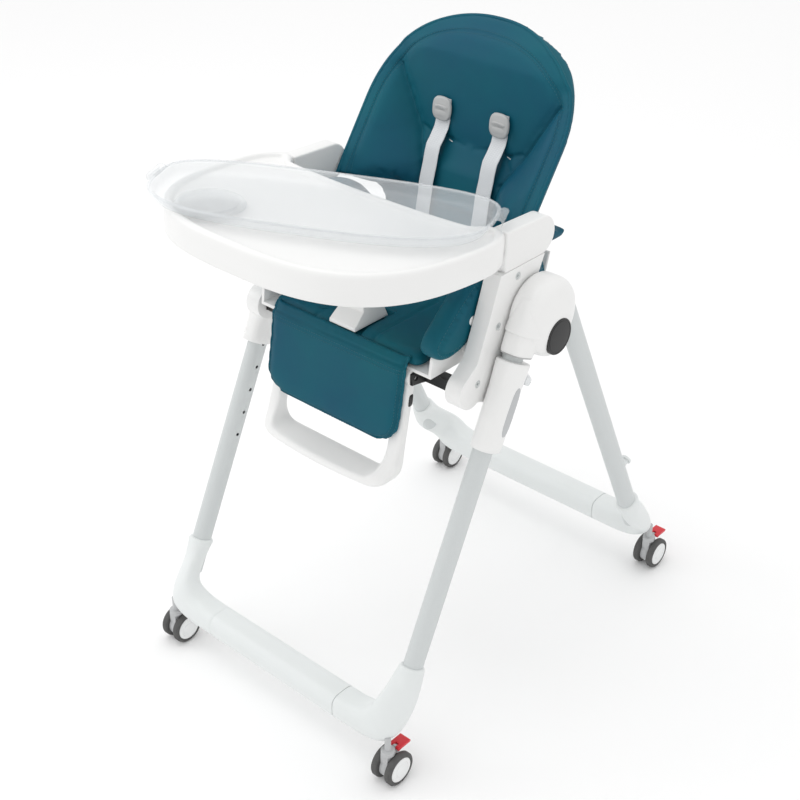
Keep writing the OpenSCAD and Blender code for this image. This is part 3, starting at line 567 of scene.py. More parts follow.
def puffed(piece, cap, voxel=0.0045, pressure=4.0, hold=None):
    """Blows a padded piece up as cloth under light pressure, no point moving further than cap.

    hold gives how much of its move each point keeps, 0 where the cloth is sewn to a rim."""
    modified(piece, "REMESH", mode="VOXEL", voxel_size=voxel)
    before = [v.co.copy() for v in piece.data.vertices]
    cloth = piece.modifiers.new("cloth", "CLOTH")
    cloth.settings.use_pressure = True
    cloth.settings.uniform_pressure_force = pressure
    cloth.settings.quality = 4
    cloth.settings.effector_weights.gravity = 0
    cloth.collision_settings.use_collision = False
    cloth.point_cache.frame_start = 1
    cloth.point_cache.frame_end = 20
    for step in range(1, 21):
        bpy.context.scene.frame_set(step)
    chosen(piece)
    bpy.ops.object.modifier_apply(modifier=cloth.name)
    bpy.context.scene.frame_set(1)
    for vert, old in zip(piece.data.vertices, before):
        move = vert.co - old
        keep = hold(old) if hold else 1
        vert.co = old + move * keep * min(1, cap / max(move.length, 1e-9))
    modified(piece, "SMOOTH", factor=0.5, iterations=3)
    modified(piece, "SUBSURF", levels=1, render_levels=1)
    bpy.ops.object.shade_smooth()
    return piece


def pressed(piece, depth_at):
    """Presses seams and tufts into a padded piece: depth_at gives a push for each point."""
    for vert in piece.data.vertices:
        push = depth_at(vert.co)
        if push is not None:
            vert.co += push
    piece.data.update()


def stitches(name, runs, body, surface, length=3.4, gap=5.2, thick=0.42):
    """Short thread loops laid along runs of points, sunk half way into the cloth."""
    tree = BVHTree.FromObject(surface, bpy.context.evaluated_depsgraph_get())
    verts, faces = [], []
    for run in runs:
        lengths = [0.0]
        for a, b in zip(run, run[1:]):
            lengths.append(lengths[-1] + (b - a).length)
        count = int(lengths[-1] * 1000 / gap)
        for i in range(count):
            mid = (i + 0.5) * gap / 1000
            k = max(n for n in range(len(lengths)) if lengths[n] <= mid)
            k = min(k, len(run) - 2)
            along = (run[k + 1] - run[k]).normalized()
            spot = run[k] + along * (mid - lengths[k])
            hit, normal = tree.find_nearest(spot)[:2]
            if hit is None:
                continue
            along = (along - normal * along.dot(normal)).normalized()
            beside = normal.cross(along)
            base = len(verts)
            for u, r in ((-0.5, 0.45), (-0.35, 1.0), (0.35, 1.0), (0.5, 0.45)):
                for c, s in ((1, 0), (0, 1), (-1, 0), (0, -1)):
                    verts.append(hit + along * (u * length / 1000)
                                 + (beside * c + normal * s) * (r * thick / 1000) + normal * 0.00012)
            for ring in range(3):
                for q in range(4):
                    a, b = base + ring * 4 + q, base + ring * 4 + (q + 1) % 4
                    faces.append((a, b, b + 4, a + 4))
            faces.append((base + 3, base + 2, base + 1, base))
            faces.append((base + 12, base + 13, base + 14, base + 15))
    mesh = bpy.data.meshes.new(name)
    mesh.from_pydata(verts, [], faces)
    piece = bpy.data.objects.new(name, mesh)
    bpy.context.scene.collection.objects.link(piece)
    piece.data.materials.append(thread)
    for face in mesh.polygons:
        face.use_smooth = True
    chosen(piece)
    bpy.ops.object.mode_set(mode="EDIT")
    bpy.ops.mesh.select_all(action="SELECT")
    bpy.ops.mesh.normals_make_consistent(inside=False)
    bpy.ops.object.mode_set(mode="OBJECT")
    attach(piece, body)
    return piece


# Back cushion: a scooped pad whose wings come forward at the sides, with a double-stitched
# border inside its rim and pulled creases round the harness slots.
BACK_HALF, BACK_TOP, ROUND, POWER = 189, 374, 144, 2.2
WAIST, LOW = 151, 26
WING_LOW, WING_STEP, SIDE_LOW = 102, 26, 72
RIM_LEAN = 0.819  # how far the wings' rear slopes forward for each millimetre outward
BORDER_LOW = 122


def between(value, table):
    """Straight-line reading of a short table."""
    if value <= table[0][0]:
        return table[0][1]
    for (a, fa), (b, fb) in zip(table, table[1:]):
        if value <= b:
            return fa + (fb - fa) * (value - a) / (b - a)
    return table[-1][1]


def back_half(z):
    if z > BACK_TOP - ROUND:
        up = (z - BACK_TOP + ROUND) / ROUND
        return BACK_HALF * max(1 - up ** POWER, 0) ** (1 / POWER)
    return WAIST + (BACK_HALF - 1 - WAIST) * eased((z - SIDE_LOW) / WING_STEP) + eased((z - 128) / 20)


def back_middle(z):
    return between(z, ((-6, 66), (150, 97), (190, 124), (260, 131), (320, 135), (350, 150), (374, 174)))


def back_rim(z):
    return 31 + (z - 153) * 0.7 - 1.5


def crease_x(z):
    return between(z, ((60, 74), (147, 77), (280, 152), (300, 150), (374, 150)))


def back_front(x, z):
    """The back's front face, as its distance behind the pivots at a width and height."""
    x, half, middle = abs(x), back_half(z), back_middle(z)
    if z < WING_LOW:
        return middle
    rim = min(back_rim(z), middle + 4)
    rim = middle + (rim - middle) * eased((z - WING_LOW) / WING_STEP)
    edge = min(crease_x(z), half - 6)
    if x <= edge:
        return middle - 5 * math.cos(math.pi / 2 * x / max(edge, 1)) ** 0.8 * eased((z - 150) / 60) + 3
    share = min((x - edge) / max(half - edge, 1), 1)
    return middle + 3 - (middle + 3 - rim) * math.sin(share * math.pi / 2) ** 0.92


def back_rear(x, z):
    chord = 100 + 91.6 * (z + 6) / 380 - 9
    front = back_front(x, z)
    wedge = back_rim(z) + (10 + back_half(z) - abs(x)) / RIM_LEAN if z > WING_LOW + 8 else chord
    return max(min(chord, wedge), front + 13)


def back_rings():
    levels = [LOW + (BACK_TOP - ROUND - LOW) * i / 30 for i in range(30)]
    levels += [BACK_TOP - ROUND + (ROUND - 0.6) * math.sin(math.pi / 2 * i / 26) for i in range(27)]
    rings = []
    for z in levels:
        half = back_half(z)
        shares = [math.sin(math.pi / 2 * k / 20) for k in range(-20, 21)]
        ring = [at(half * s, back_front(half * s, z), z) for s in shares]
        ring += [at(half * s, back_rear(half * s, z), z) for s in reversed(shares)]
        rings.append(ring)
    return rings


def near_line(x, z, start, end):
    """Distance from a point to a line's stretch, in the front view."""
    ax, az = start
    bx, bz = end
    share = ((x - ax) * (bx - ax) + (z - az) * (bz - az)) / ((bx - ax) ** 2 + (bz - az) ** 2)
    share = min(max(share, 0), 1)
    return math.hypot(x - ax - share * (bx - ax), z - az - share * (bz - az))


def border_gap(x, z):
    """How far a point is inside the back's outline, in the front view."""
    if z > BACK_TOP - ROUND:
        up = (z - BACK_TOP + ROUND) / ROUND
        size = ((abs(x) / BACK_HALF) ** POWER + up ** POWER) ** (1 / POWER)
        away = math.hypot(x, z - BACK_TOP + ROUND)
        return away / max(size, 1e-6) - away
    return back_half(z) - abs(x)


TUFTS = (((77, 148), (154, 282), 3.4, 9.0), ((77, 148), (154, 282), 4.2, 2.8), ((77, 148), (70, 90),
         3.0, 4.0),
         ((38, 190), (76, 190), 3.4, 3.4), ((56, 170), (56, 236), 1.8, 8.0), ((76, 190), (98, 198), 2.2, 3.2),
         ((38, 190), (10, 186), 1.8, 3.6), ((57, 190), (62, 120), 2.2, 5.0), ((72, 188), (84, 172), 1.8, 3.4))


def back_press(point):
    local = (point - PIVOT) * 1000
    x, z = abs(local.x), local.z
    if local.y > back_front(x, z) + 9:
        return None
    push = 0
    for start, end, depth, width in TUFTS:
        push += depth * math.exp(-((near_line(x, z, start, end) / width) ** 2))
    if z > 112:
        push += 2.4 * math.exp(-(((border_gap(x, z) - 19) / 2.4) ** 2))
    return Vector((0, push / 1000, 0))


def rim_hold(point):
    local = (point - PIVOT) * 1000
    return eased((border_gap(local.x, local.z) - 8) / 26) if local.z > 96 else 0.6


back = drawn("back_pad", back_rings(), teal, 60)
puffed(back, 0.006, 0.004, hold=rim_hold)
pressed(back, back_press)
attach(back, "backrest")
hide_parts("back_cushion")


def border_run(inset):
    """Points along the back's border seam, up one side, over the top and down the other."""
    run = []
    for i in range(31):
        z = BORDER_LOW + (BACK_TOP - ROUND - BORDER_LOW) * i / 30
        run.append((back_half(z) - inset, z))
    for i in range(1, 120):
        turn = math.pi * i / 120
        c, s = math.cos(turn), math.sin(turn)
        x = (BACK_HALF - inset) * math.copysign(abs(c) ** (2 / POWER), c)
        run.append((x, BACK_TOP - ROUND + (ROUND - inset) * s ** (2 / POWER)))
    for i in range(31):
        z = BACK_TOP - ROUND - (BACK_TOP - ROUND - BORDER_LOW) * i / 30
        run.append((-back_half(z) + inset, z))
    return [at(x, back_front(x, z), z) for x, z in run]


stitches("back_border_stitching", [border_run(16), border_run(22)], "backrest", back)


# Back shell: moulded polypropylene. Its hinged lower part is a flat box, its upper part
# dishes forward under the wings to the rim.
softened("back_shell_lower", "back_shell", "backrest", 0, white_plastic)
bpy.ops.object.mode_set(mode="EDIT")
bpy.ops.mesh.select_all(action="SELECT")
bpy.ops.mesh.bisect(plane_co=at(0, 0, 150), plane_no=(0, 0, 1), clear_outer=True, use_fill=True)
bpy.ops.object.mode_set(mode="OBJECT")
bpy.ops.object.shade_smooth_by_angle(angle=math.radians(35))


def shell_rear(x, z, half):
    plane = 100 + (min(z, 322) + 6) * 0.241
    return max(min(plane, back_rim(z) + 6 + (half - abs(x)) / RIM_LEAN), back_front(x, z) + 10)


SHELL_LOW = 140
shell_rings = []
for i in range(46):
    if i < 20:
        z = SHELL_LOW + 90 * i / 20
    else:
        z = BACK_TOP - ROUND + (ROUND - 3) * math.sin(math.pi / 2 * (i - 20) / 25)
    half = back_half(z) - 3
    shares = [math.sin(math.pi / 2 * k / 18) for k in range(-18, 19)]
    ring = [at(half * q, back_front(half * q, z) + 8, z) for q in shares]
    ring += [at(half * q, shell_rear(half * q, z, half), z) for q in reversed(shares)]
    shell_rings.append(ring)
upper_shell = drawn("back_shell_upper", shell_rings, white_plastic, 60)
modified(upper_shell, "SMOOTH", factor=0.5, iterations=3)
bpy.ops.object.shade_smooth_by_angle(angle=math.radians(60))
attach(upper_shell, "backrest")


# Back cover's skirt and welt: the cover turns round the back's rim in a piped edge, and its
# elastic hem lies on the shell behind.
def rim_frames():
    """Points along the back's rim with their outward directions in the front view."""
    run = []
    for z in [112 + 118 * i / 24 for i in range(25)]:
        run.append((back_half(z), z))
    for i in range(1, 46):
        c, s = math.cos(math.pi * i / 90), math.sin(math.pi * i / 90)
        run.append((BACK_HALF * c ** (2 / POWER), BACK_TOP - ROUND + ROUND * s ** (2 / POWER)))
    run += [(-x, z) for x, z in reversed(run[:-1])]
    frames = []
    for i, (x, z) in enumerate(run):
        ax, az = run[max(i - 1, 0)]
        bx, bz = run[min(i + 1, len(run) - 1)]
        size = math.hypot(bx - ax, bz - az)
        frames.append((x, back_front(x, z), z, (bz - az) / size, -(bx - ax) / size))
    return frames


WELT_RADIUS = 0.0032
welt, skirt = [], []
for x, y, z, nx, nz in rim_frames():
    outward = Vector((nx, 0, nz))
    back_way = Vector((-RIM_LEAN * nx, 1, -RIM_LEAN * nz)).normalized()
    upright = Vector((nx, RIM_LEAN, nz)).normalized()
    welt.append(rounded_ring(at(x, y + 2.4, z) - outward * 0.0012, outward * WELT_RADIUS,
                             Vector((0, WELT_RADIUS, 0)), 2, 14))
    middle = at(x, y + 3, z) + outward * 0.0002 + back_way * 0.017
    skirt.append(rounded_ring(middle, back_way * 0.019, upright * 0.0014, 4, 24))
welt.reverse()
skirt.reverse()
for name, rings in (("back_cover_welt", welt), ("back_cover_skirt", skirt)):
    piece = drawn(name, rings, teal, 70)
    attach(piece, "backrest")


# Seat pad and side wings: flat wadded panel on the bucket's floor, and two padded wings
# rolled over the bucket's sides.
def stacked(name, outline, levels, place):
    """Rings of one outline at several levels, each with an inset, placed by a function."""
    return drawn(name, [[place(p, level) for p in outline(inset)] for level, inset in levels], teal, 60)


def rounded_box(half_x, y0, y1, corner, count=12):
    """Outline of a panel with rounded corners, in (x, y), for an inset."""
    def outline(inset):
        points = []
        for cx, cy, start in ((half_x - corner, y1 - corner, 0), (-half_x + corner, y1 - corner, 90),
                              (-half_x + corner, y0 + corner, 180), (half_x - corner, y0 + corner, 270)):
            for k in range(count + 1):
                turn = math.radians(start + 90 * k / count)
                points.append((cx + (corner - inset) * math.cos(turn),
                               cy + (corner - inset) * math.sin(turn)))
        return points
    return outline


seat = stacked("seat_pad", rounded_box(152, -178, 28, 16),
               ((-27, 6), (-26, 1), (-22, 0), (-17, 0), (-13, 3), (-11, 9), (-10, 15)),
               lambda p, z: at(p[0], p[1], z))
puffed(seat, 0.004)


def seat_press(point):
    local = (point - PIVOT) * 1000
    if local.z < -18:
        return None
    push = 2.2 * math.exp(-((near_line(abs(local.x), local.y, (58, -176), (58, -20)) / 4) ** 2))
    beside = max(abs(local.x) - 30, local.y + 98)
    push += 9 * (1 - eased((beside + 1) / 7))
    return Vector((0, 0, -push / 1000))


pressed(seat, seat_press)
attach(seat, "carriage")
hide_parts("seat_cushion")

WING_EDGE = ((-186, 22), (-176, 0), (-150, -10), (-112, -4), (-80, 14), (-40, 20), (30, 20), (80, 24),
             (80, 64),
             (50, 102), (12, 124), (-24, 132), (-66, 120), (-116, 84), (-158, 50))


def smooth_loop(points, rounds=3):
    """Cuts a loop's corners to a soft curve."""
    for _ in range(rounds):
        cut = []
        for (ax, ay), (bx, by) in zip(points, points[1:] + points[:1]):
            cut += [(ax * 0.75 + bx * 0.25, ay * 0.75 + by * 0.25),
                    (ax * 0.25 + bx * 0.75, ay * 0.25 + by * 0.75)]
        points = cut
    return points


def shrunk_loop(points, inset):
    """A loop drawn in along its corners' normals."""
    drawn_in = []
    for i, (x, y) in enumerate(points):
        ax, ay = points[i - 1]
        bx, by = points[(i + 1) % len(points)]
        size = math.hypot(bx - ax, by - ay)
        drawn_in.append((x - (by - ay) / size * inset, y + (bx - ax) / size * inset))
    return drawn_in


WING_MIDDLE = 171


def wing_press(point, side, seam):
    """The push of a wing's seam, from both its faces towards its middle."""
    local = (point - PIVOT) * 1000
    near = min((Vector((0, local.y, local.z)) - spot).length for spot in seam)
    push = 2.6 * math.exp(-((near / 2.6) ** 2))
    return Vector((math.copysign(push / 1000, WING_MIDDLE - abs(local.x)) * side, 0, 0))


wing_loop = smooth_loop(list(WING_EDGE), 2)
for side, edge in SIDES:
    shape = ((154, 12), (154, 5), (156, 1), (160, 0), (178, 0), (183, 1), (186, 4), (187, 10))
    wing = drawn(f"seat_wing_{edge}", [[at(side * x, y, z) for y, z in shrunk_loop(wing_loop, inset)]
                                       for x, inset in shape], teal, 60)
    puffed(wing, 0.004, 0.004)
    seam = [Vector((0, y, z)) for y, z in shrunk_loop(wing_loop, 12)]
    pressed(wing, lambda point: wing_press(point, side, seam))
    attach(wing, "carriage")
    inside = [at(side * 155, y, z) for y, z in shrunk_loop(wing_loop, 9)]
    outside = [at(side * 186, y, z) for y, z in shrunk_loop(wing_loop, 8)]
    stitches(f"seat_wing_stitching_{edge}", [inside + inside[:1], outside + outside[:1]], "carriage", wing)
    stud = [(185, 2), (185, 4.6), (188.4, 4.8), (189.2, 7.2), (190.8, 7.4), (192, 6.2), (192.4, 2)]
    knob = turned(f"cover_stud_{edge}", at(0, -104, 40), [(side * x / 1000, q / 1000) for x, q in stud],
                  white_plastic, 32)
    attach(knob, "carriage")


# Flap: the front of the seat cover, which rolls over the bucket's edge and hangs in front of
# the leg rest. A double stitch line runs across it.
FLAP_LINE = ((-172, -17), (-180, -16), (-187, -19), (-191, -27), (-193, -40), (-198, -70), (-203, -98),
             (-206, -112), (-209, -126), (-211, -138), (-213, -147), (-214, -152), (-214.4, -154))
FLAP_HALF, FLAP_END, FLAP_ROUND = 141, -154, 44


def flap_ring(y, z, half, thick, slope):
    middle = at(0, y, z)
    deep = Vector((0, math.cos(slope), -math.sin(slope))) * (thick / 2000)
    return rounded_ring(middle, Vector((half / 1000, 0, 0)), deep, 7.0, 56)


def flap_half(z):
    low = FLAP_END + FLAP_ROUND - z
    return FLAP_HALF - FLAP_ROUND + math.sqrt(max(FLAP_ROUND ** 2 - low ** 2, 0)) if low > 0 else FLAP_HALF


flap_rings = []
for i, (y, z) in enumerate(FLAP_LINE):
    ay, az = FLAP_LINE[max(i - 1, 0)]
    by, bz = FLAP_LINE[min(i + 1, len(FLAP_LINE) - 1)]
    slope = math.atan2(by - ay, az - bz)
    half = flap_half(z + 0.2)
    flap_rings.append(flap_ring(y + 5 * math.cos(slope), z - 5 * math.sin(slope), half - 1, 10, slope))
flap = drawn("flap_pad", flap_rings, teal, 60)
puffed(flap, 0.0035, 0.004, hold=lambda p: eased((FLAP_HALF - abs((p - PIVOT).x * 1000)) / 20) * 0.8 + 0.1)


def flap_press(point):
    local = (point - PIVOT) * 1000
    across = max(abs(local.x) - FLAP_HALF + FLAP_ROUND, 0)
    down = max(FLAP_END + FLAP_ROUND - local.z, 0)
    gap = FLAP_ROUND - math.hypot(across, down) if across or down else FLAP_ROUND
    push = 2.8 * math.exp(-(((gap - 9) / 2.0) ** 2)) + 2.6 * math.exp(-(((local.z + 22) / 2.5) ** 2))
    return Vector((0, push / 1000, 0)) if local.y < -150 else None


pressed(flap, flap_press)


def flap_run(inset):
    inner, low = FLAP_HALF - FLAP_ROUND, FLAP_END + FLAP_ROUND
    points = [(FLAP_HALF - inset, -26)]
    points += [(inner + (FLAP_ROUND - inset) * math.cos(math.radians(a)),
                low - (FLAP_ROUND - inset) * math.sin(math.radians(a))) for a in range(0, 91, 9)]
    points += [(-x, z) for x, z in reversed(points)]
    fine = []
    for (ax, az), (bx, bz) in zip(points, points[1:]):
        count = max(int(math.hypot(bx - ax, bz - az) / 4), 1)
        fine += [(ax + (bx - ax) * k / count, az + (bz - az) * k / count) for k in range(count)]
    return [at(x, between(-z, [(-q, p) for p, q in FLAP_LINE[2:]]) - 3, z) for x, z in fine]


stitches("flap_stitching", [flap_run(7), flap_run(11)], "leg_rest", flap)
fold = [[at(x, -194, z) for x in range(-136, 137, 4)] for z in (-29, -35)]
stitches("flap_fold_stitching", fold, "leg_rest", flap)
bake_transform(flap)
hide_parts("calf_pad")


# Harness: flat polyester webbing with a herringbone weave, moulded adjusters and small
# white loops at the slots. The lower part lies on the seat behind the tray.
def woven_webbing():
    material, tree, place = new_material("polyester_webbing_light_grey")
    axes = add(tree, "ShaderNodeSeparateXYZ", Vector=place)
    off = add(tree, "ShaderNodeMath", {"operation": "ABSOLUTE"}, i0=axes.outputs["X"])
    near = add(tree, "ShaderNodeMath", {"operation": "SUBTRACT"}, i0=off.outputs[0], i1=0.0565)
    fold = add(tree, "ShaderNodeMath", {"operation": "PINGPONG"}, i0=near.outputs[0], i1=0.0036)
    slant = add(tree, "ShaderNodeMath", {"operation": "ADD"}, i0=axes.outputs["Z"], i1=fold.outputs[0])
    count = add(tree, "ShaderNodeMath", {"operation": "MULTIPLY"}, i0=slant.outputs[0],
                i1=math.tau / 0.0024)
    twill = add(tree, "ShaderNodeMath", {"operation": "SINE"}, i0=count.outputs[0])
    level = add(tree, "ShaderNodeMapRange", Value=twill.outputs[0], From_Min=-1.0, From_Max=1.0)
    tint = add(tree, "ShaderNodeMixRGB", Fac=level.outputs[0], Color1=to_linear("c0c4c8"),
               Color2=to_linear("e8eaec"))
    bump = add(tree, "ShaderNodeBump", Height=level.outputs[0], Strength=0.5, Distance=0.0005)
    body = add(tree, "ShaderNodeBsdfPrincipled", Base_Color=tint.outputs[0], Roughness=0.7, Sheen_Weight=0.2,
               Normal=bump.outputs["Normal"])
    add(tree, "ShaderNodeOutputMaterial", Surface=body.outputs[0])
    return material


webbing = woven_webbing()
STRAP_X, STRAP_HALF = 56.5, 14
back_surface = BVHTree.FromObject(back, bpy.context.evaluated_depsgraph_get())


def on_back(x, z):
    """How far behind the pivots the finished back cushion's front lies."""
    hit = back_surface.ray_cast(at(x, -150, z), Vector((0, 1, 0)))[0]
    return (hit - PIVOT).y * 1000 if hit is not None else back_middle(z)


def strap_ring(middle, along, across, thick, half):
    beside = across.normalized() * (half / 1000)
    deep = across.cross(along).normalized() * (thick / 2000)
    return rounded_ring(middle, beside, deep, 5.0, 20)


def strap(name, path, half, thick, across, body):
    """A flat strap along a path of points."""
    rings = []
    for i, middle in enumerate(path):
        along = path[min(i + 1, len(path) - 1)] - path[max(i - 1, 0)]
        rings.append(strap_ring(middle, along, across, thick, half))
    piece = drawn(name, rings, webbing, 60)
    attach(piece, body)
    return piece


for side, edge in SIDES:
    x = side * STRAP_X
    heights = [252, 244, 236, 228, 218, 206, 194, 182, 168, 154, 140, 126, 110, 94, 78, 62, 46, 32]
    line = [on_back(x, z) for z in heights]
    line = [min(line[max(i - 2, 0) : i + 3]) - 2.2 for i in range(len(line))]
    path = [at(x, y, z) for y, z in zip(line, heights)]
    piece = strap(f"shoulder_strap_{edge}", path, STRAP_HALF, 2.0, Vector((1, 0, 0)), "backrest")
    if side > 0:
        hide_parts("shoulder_straps")
    front = line[2] - 2.5
    clip = []
    for depth, size in ((0, 0.9), (0.8, 1.0), (2.6, 1.0), (4.2, 0.95), (5.0, 0.84)):
        clip.append(rounded_ring(at(x, front - depth, 236), Vector((0.0184 * size, 0, 0)),
                                 Vector((0, 0.0016, 0.0190 * size)), 2.8, 36))
    piece = drawn(f"strap_adjuster_{edge}", clip, grey_plastic, 50)
    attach(piece, "backrest")
    if side > 0:
        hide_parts("strap_adjusters")
    for part, z, half_z, depth in (("bar", 239, 3.2, 6.4), ("tab", 228, 6.0, 6.2)):
        rib = [rounded_ring(at(x, front - d, z), Vector((0.0125 * s, 0, 0)),
                            Vector((0, 0, half_z * s / 1000)), 2.8, 28)
               for d, s in ((3.5, 1.0), (depth - 0.8, 1.0), (depth, 0.8))]
        piece = drawn(f"strap_adjuster_{part}_{edge}", rib, grey_plastic, 50)
        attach(piece, "backrest")

    y = on_back(x + 17, 188)
    cord = [rounded_ring(at(x + 14 + step, y - 1 - step * 0.2, 188 - step * 0.2), Vector((0, 0.0009, 0)),
                         Vector((0, 0, 0.0009)), 2, 10) for step in (0, 3, 6, 7.5)]
    piece = drawn(f"tuft_cord_{edge}", cord, white_plastic, 50)
    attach(piece, "backrest")
paint_node("lap_belt", webbing)


# Leg rest: one white moulded frame, two posts that turn into a bowed footboard through
# large round corners. A cross brace behind the flap carries the catch.
HINGE_Y, HINGE_Z = -170, -46
leg_half = []
STEPS = 34
for i in range(STEPS + 1):
    t = i / STEPS
    down = min(t / 0.42, 1) * 128
    if t < 0.42:
        inner, outer = Vector((111.5, 0, down)), Vector((136.5, 0, down))
    else:
        u = (t - 0.42) / 0.58
        inner = bent(((111.5, 0, 128), (111.5, 0, 152), (104, 0, 160), (84, 0, 160)), min(u / 0.55, 1))
        corner = math.pi / 2 * min(u / 0.55, 1)
        outer = Vector((84 + 52.5 * math.cos(corner) ** 0.6, 0, 128 + 49.5 * math.sin(corner) ** 0.6))
        if u > 0.55:
            slide = (u - 0.55) / 0.45
            inner, outer = Vector((84 * (1 - slide), 0, 160)), Vector((84 * (1 - slide), 0, 177.5))
    board = eased((t - 0.36) / 0.26)
    middle = (inner + outer) / 2
    bow = 8 * (1 - (middle.x / 112) ** 2) if middle.x < 112 else 0
    back_edge, front_edge = 11 + 3 * board, -10 - (21 + bow) * board
    leg_half.append(((inner + outer) / 2, (outer - inner) / 2, (back_edge + front_edge) / 2,
                     (back_edge - front_edge) / 2, 3.0 + board))


def leg_rest_section(side, number, lift=0.0, size=1.0):
    middle, across, shift, half, power = leg_half[number]
    v = middle.z - lift
    centre = at(side * middle.x, HINGE_Y - 34 * v / 168 + shift, HINGE_Z - v)
    wide = Vector((side * across.x, 0, -across.z)) * (size / 1000)
    deep = Vector((0, half * size / 1000, 0))
    return rounded_ring(centre, wide, deep, power, 36)


rings = [leg_rest_section(-1, 0, 10, 0.55), leg_rest_section(-1, 0, 9, 0.85), leg_rest_section(-1, 0, 6)]
rings += [leg_rest_section(-1, i) for i in range(STEPS + 1)]
rings += [leg_rest_section(1, i) for i in range(STEPS - 1, -1, -1)]
rings += [leg_rest_section(1, 0, 6), leg_rest_section(1, 0, 9, 0.85), leg_rest_section(1, 0, 10, 0.55)]
leg_frame = drawn("leg_rest_posts", rings, white_plastic, 50)
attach(leg_frame, "leg_rest")
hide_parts("leg_rest_frame", "footboard")


for side, edge in SIDES:
    boss = [(122, 14), (136.8, 14.5), (138, 13.8), (138.6, 12.4), (138.6, 5.4), (138, 5.2), (138, 4.6),
            (138.8, 4.4),
            (139.2, 3.4), (139.2, 1)]
    piece = turned(f"leg_rest_boss_{edge}", at(0, HINGE_Y, HINGE_Z),
                   [(side * x / 1000, q / 1000) for x, q in boss],
                   white_plastic, 48)
    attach(piece, "leg_rest")
    # Painted shade: a black patch a little proud of each post's outer face stands for the dark opening of its
    # slot.
    slot = [rounded_ring(at(side * x, -175, -84), Vector((0, 0.0045 * q, 0)),
                         Vector((0, 0.0014, 0.0095 * q)), 4, 24)
            for x, q in ((130, 1.0), (136.7, 1.0), (137.1, 0.96), (137.1, 0.2))]
    piece = drawn(f"leg_rest_slot_shade_patch_{edge}", slot, black_plastic, 50)
    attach(piece, "leg_rest")


# Tray: a white shell with a rolled rim round a sunken floor, hollow below, that slides on
# rails in the armrests. A frosted dinner tray lies across it.
SLOPE = math.radians(4)
TRAY_MID, NOSE, CURVE = -56, 244, 2.9


def on_tray(x, y, z):
    """A point on the tray's own level, which slopes down to the front."""
    return at(x, -90 + y * math.cos(SLOPE) + z * math.sin(SLOPE),
              136 - y * math.sin(SLOPE) + z * math.cos(SLOPE))


def super_point(a, b, power, degrees):
    c, s = math.cos(math.radians(degrees)), math.sin(math.radians(degrees))
    return (a * math.copysign(abs(c) ** (2 / power), c), b * math.copysign(abs(s) ** (2 / power), s))


def tray_loop(inset):
    """The tray's outline: a full round nose, two ears beside the armrests and a hollow for the child."""
    a, b = 245 - inset, NOSE - inset
    points = [super_point(a, b, CURVE, t) for t in range(180, 361, 5)]
    points = [(x, y + TRAY_MID) for x, y in points]
    pinch = min(inset, 11)
    points += [(a - 4, TRAY_MID + 34), (222 - pinch, 14 - inset), (194 + pinch, 14 - inset)]
    points += [(186 * math.cos(math.radians(t)), -20 - inset + 16 * (1 - math.sin(math.radians(t))))
               for t in range(15, 166, 10)]
    points += [(-194 - pinch, 14 - inset), (-222 + pinch, 14 - inset), (-a + 4, TRAY_MID + 34)]
    return smooth_loop(points, 2)


TRAY_PROFILE = ((33, 36), (30, 36), (6, 36), (3.2, 33), (3, 1), (2.2, 0.2), (1.0, 0), (0.2, 0.8),
                (0, 3), (0, 35),
                (0.4, 39), (1.8, 42.6), (4.4, 44.6), (7.5, 45), (10, 44.6), (12, 43), (13.2, 41),
                (14.5, 39.6),
                (17, 39), (24, 39))
tray = drawn("tray_top", [[on_tray(x, y, z) for x, y in tray_loop(inset)] for inset, z in TRAY_PROFILE],
             white_plastic, 50)
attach(tray, "tray")
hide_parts("tray_body")

INSERT_TURN = math.radians(28)
INSERT_DEEP = 226
frosted = clear_polymer("frosted_polypropylene_tray", "eceff1", 0.3, 0.24)


def on_insert(x, y, z):
    c, s = math.cos(INSERT_TURN), math.sin(INSERT_TURN)
    y += 28
    return on_tray(x * c - y * s, -130 + x * s + y * c, 45.3 + z)


def insert_loop(inset):
    a, front, rear = 250 - inset, INSERT_DEEP * 0.62 - inset, INSERT_DEEP * 0.38 - inset
    points = [super_point(a, front, 3.0, t) for t in range(180, 361, 4)]
    return points + [super_point(a, rear, 3.4, t) for t in range(4, 177, 4)]


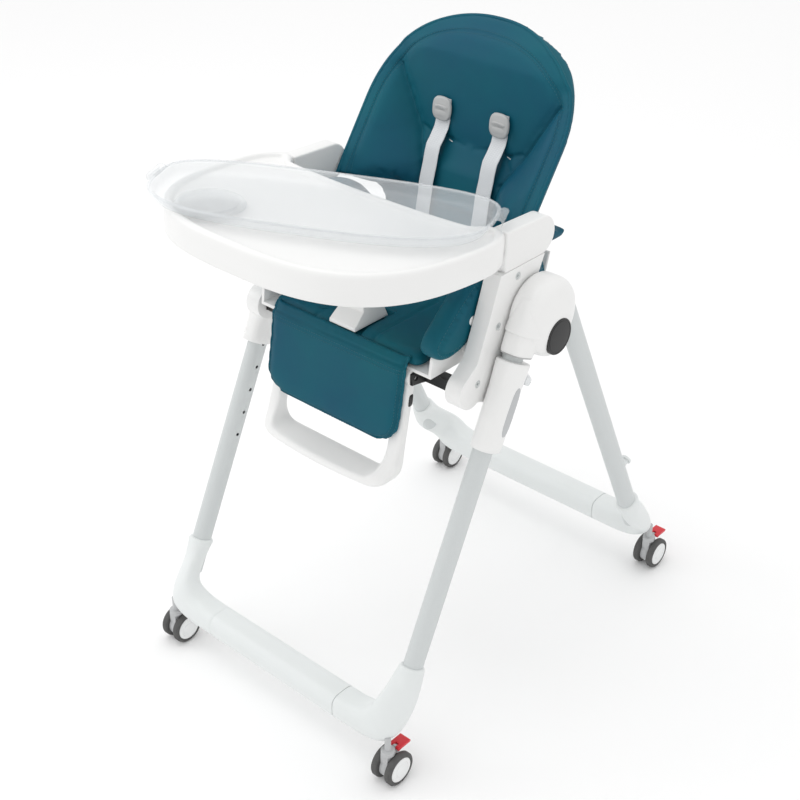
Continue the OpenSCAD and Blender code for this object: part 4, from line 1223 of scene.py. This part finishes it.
INSERT_PROFILE = ((22, 0), (14, 0.2), (10.5, 1.6), (8.6, 6), (6.6, 13), (5.2, 16), (2.6, 17.4), (0.6, 16.6),
                  (0.0, 15.6), (0.4, 17.4), (2.2, 19), (4.6, 19), (6.8, 17.6), (8.2, 14.6), (10.2, 7),
                  (12.0, 3.2),
                  (15, 2.0), (22, 1.8))
dish = drawn("dinner_dish", [[on_insert(x, y, z) for x, y in insert_loop(inset)]
                             for inset, z in INSERT_PROFILE],
             frosted, 50)
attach(dish, "insert")
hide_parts("dinner_tray")


BEAD = ((3.2, 15.4), (1.8, 15.8), (1.2, 17.0), (1.8, 18.2), (3.2, 18.7), (4.6, 18.2), (5.2, 17.0),
        (4.6, 15.8))
bead_mesh = [[on_insert(x, y, z) for x, y in insert_loop(inset)] for inset, z in BEAD + BEAD[:1]]
bead = drawn("dinner_dish_bead", bead_mesh, frosted, 60)
bpy.ops.object.mode_set(mode="EDIT")
bpy.ops.mesh.select_all(action="SELECT")
bpy.ops.mesh.remove_doubles(threshold=0.00001)
mesh = bmesh.from_edit_mesh(bead.data)
for face in [face for face in mesh.faces if len(face.verts) > 4]:
    mesh.faces.remove(face)
bmesh.update_edit_mesh(bead.data)
bpy.ops.mesh.select_all(action="SELECT")
bpy.ops.mesh.normals_make_consistent(inside=False)
bpy.ops.object.mode_set(mode="OBJECT")
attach(bead, "insert")

CUP_X, CUP_Y = -148, -62


def cup_ring(radius, z):
    turns = [math.tau * i / 64 for i in range(64)]
    return [on_insert(CUP_X + radius * math.cos(t), CUP_Y + radius * math.sin(t), z) for t in turns]


CUP_PROFILE = ((52, 2.0), (50, 4.4), (47.5, 7.6), (45, 8.4), (42.6, 7.6), (41, 5), (40, 2.9), (38, 2.4))
cup = drawn("dinner_dish_cup_ring", [cup_ring(r, z) for r, z in CUP_PROFILE], frosted, 60)
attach(cup, "insert")
for side, edge in SIDES:
    clip = []
    for reach, z, thick in ((246, 17, 2.4), (252, 19, 2.4), (257, 18.4, 2.4), (259.5, 14.5, 2.2),
                            (258, 10, 1.8)):
        clip.append(rounded_ring(on_insert(side * reach, 2, z), on_insert(0, 24, z) - on_insert(0, 0, z),
                                 (on_insert(side * 1.0, 0, 1.6) - on_insert(0, 0, 0)) * (thick / 2), 6.0, 24))
    tab = drawn(f"dinner_dish_clip_{edge}", clip, frosted, 60)
    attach(tab, "insert")
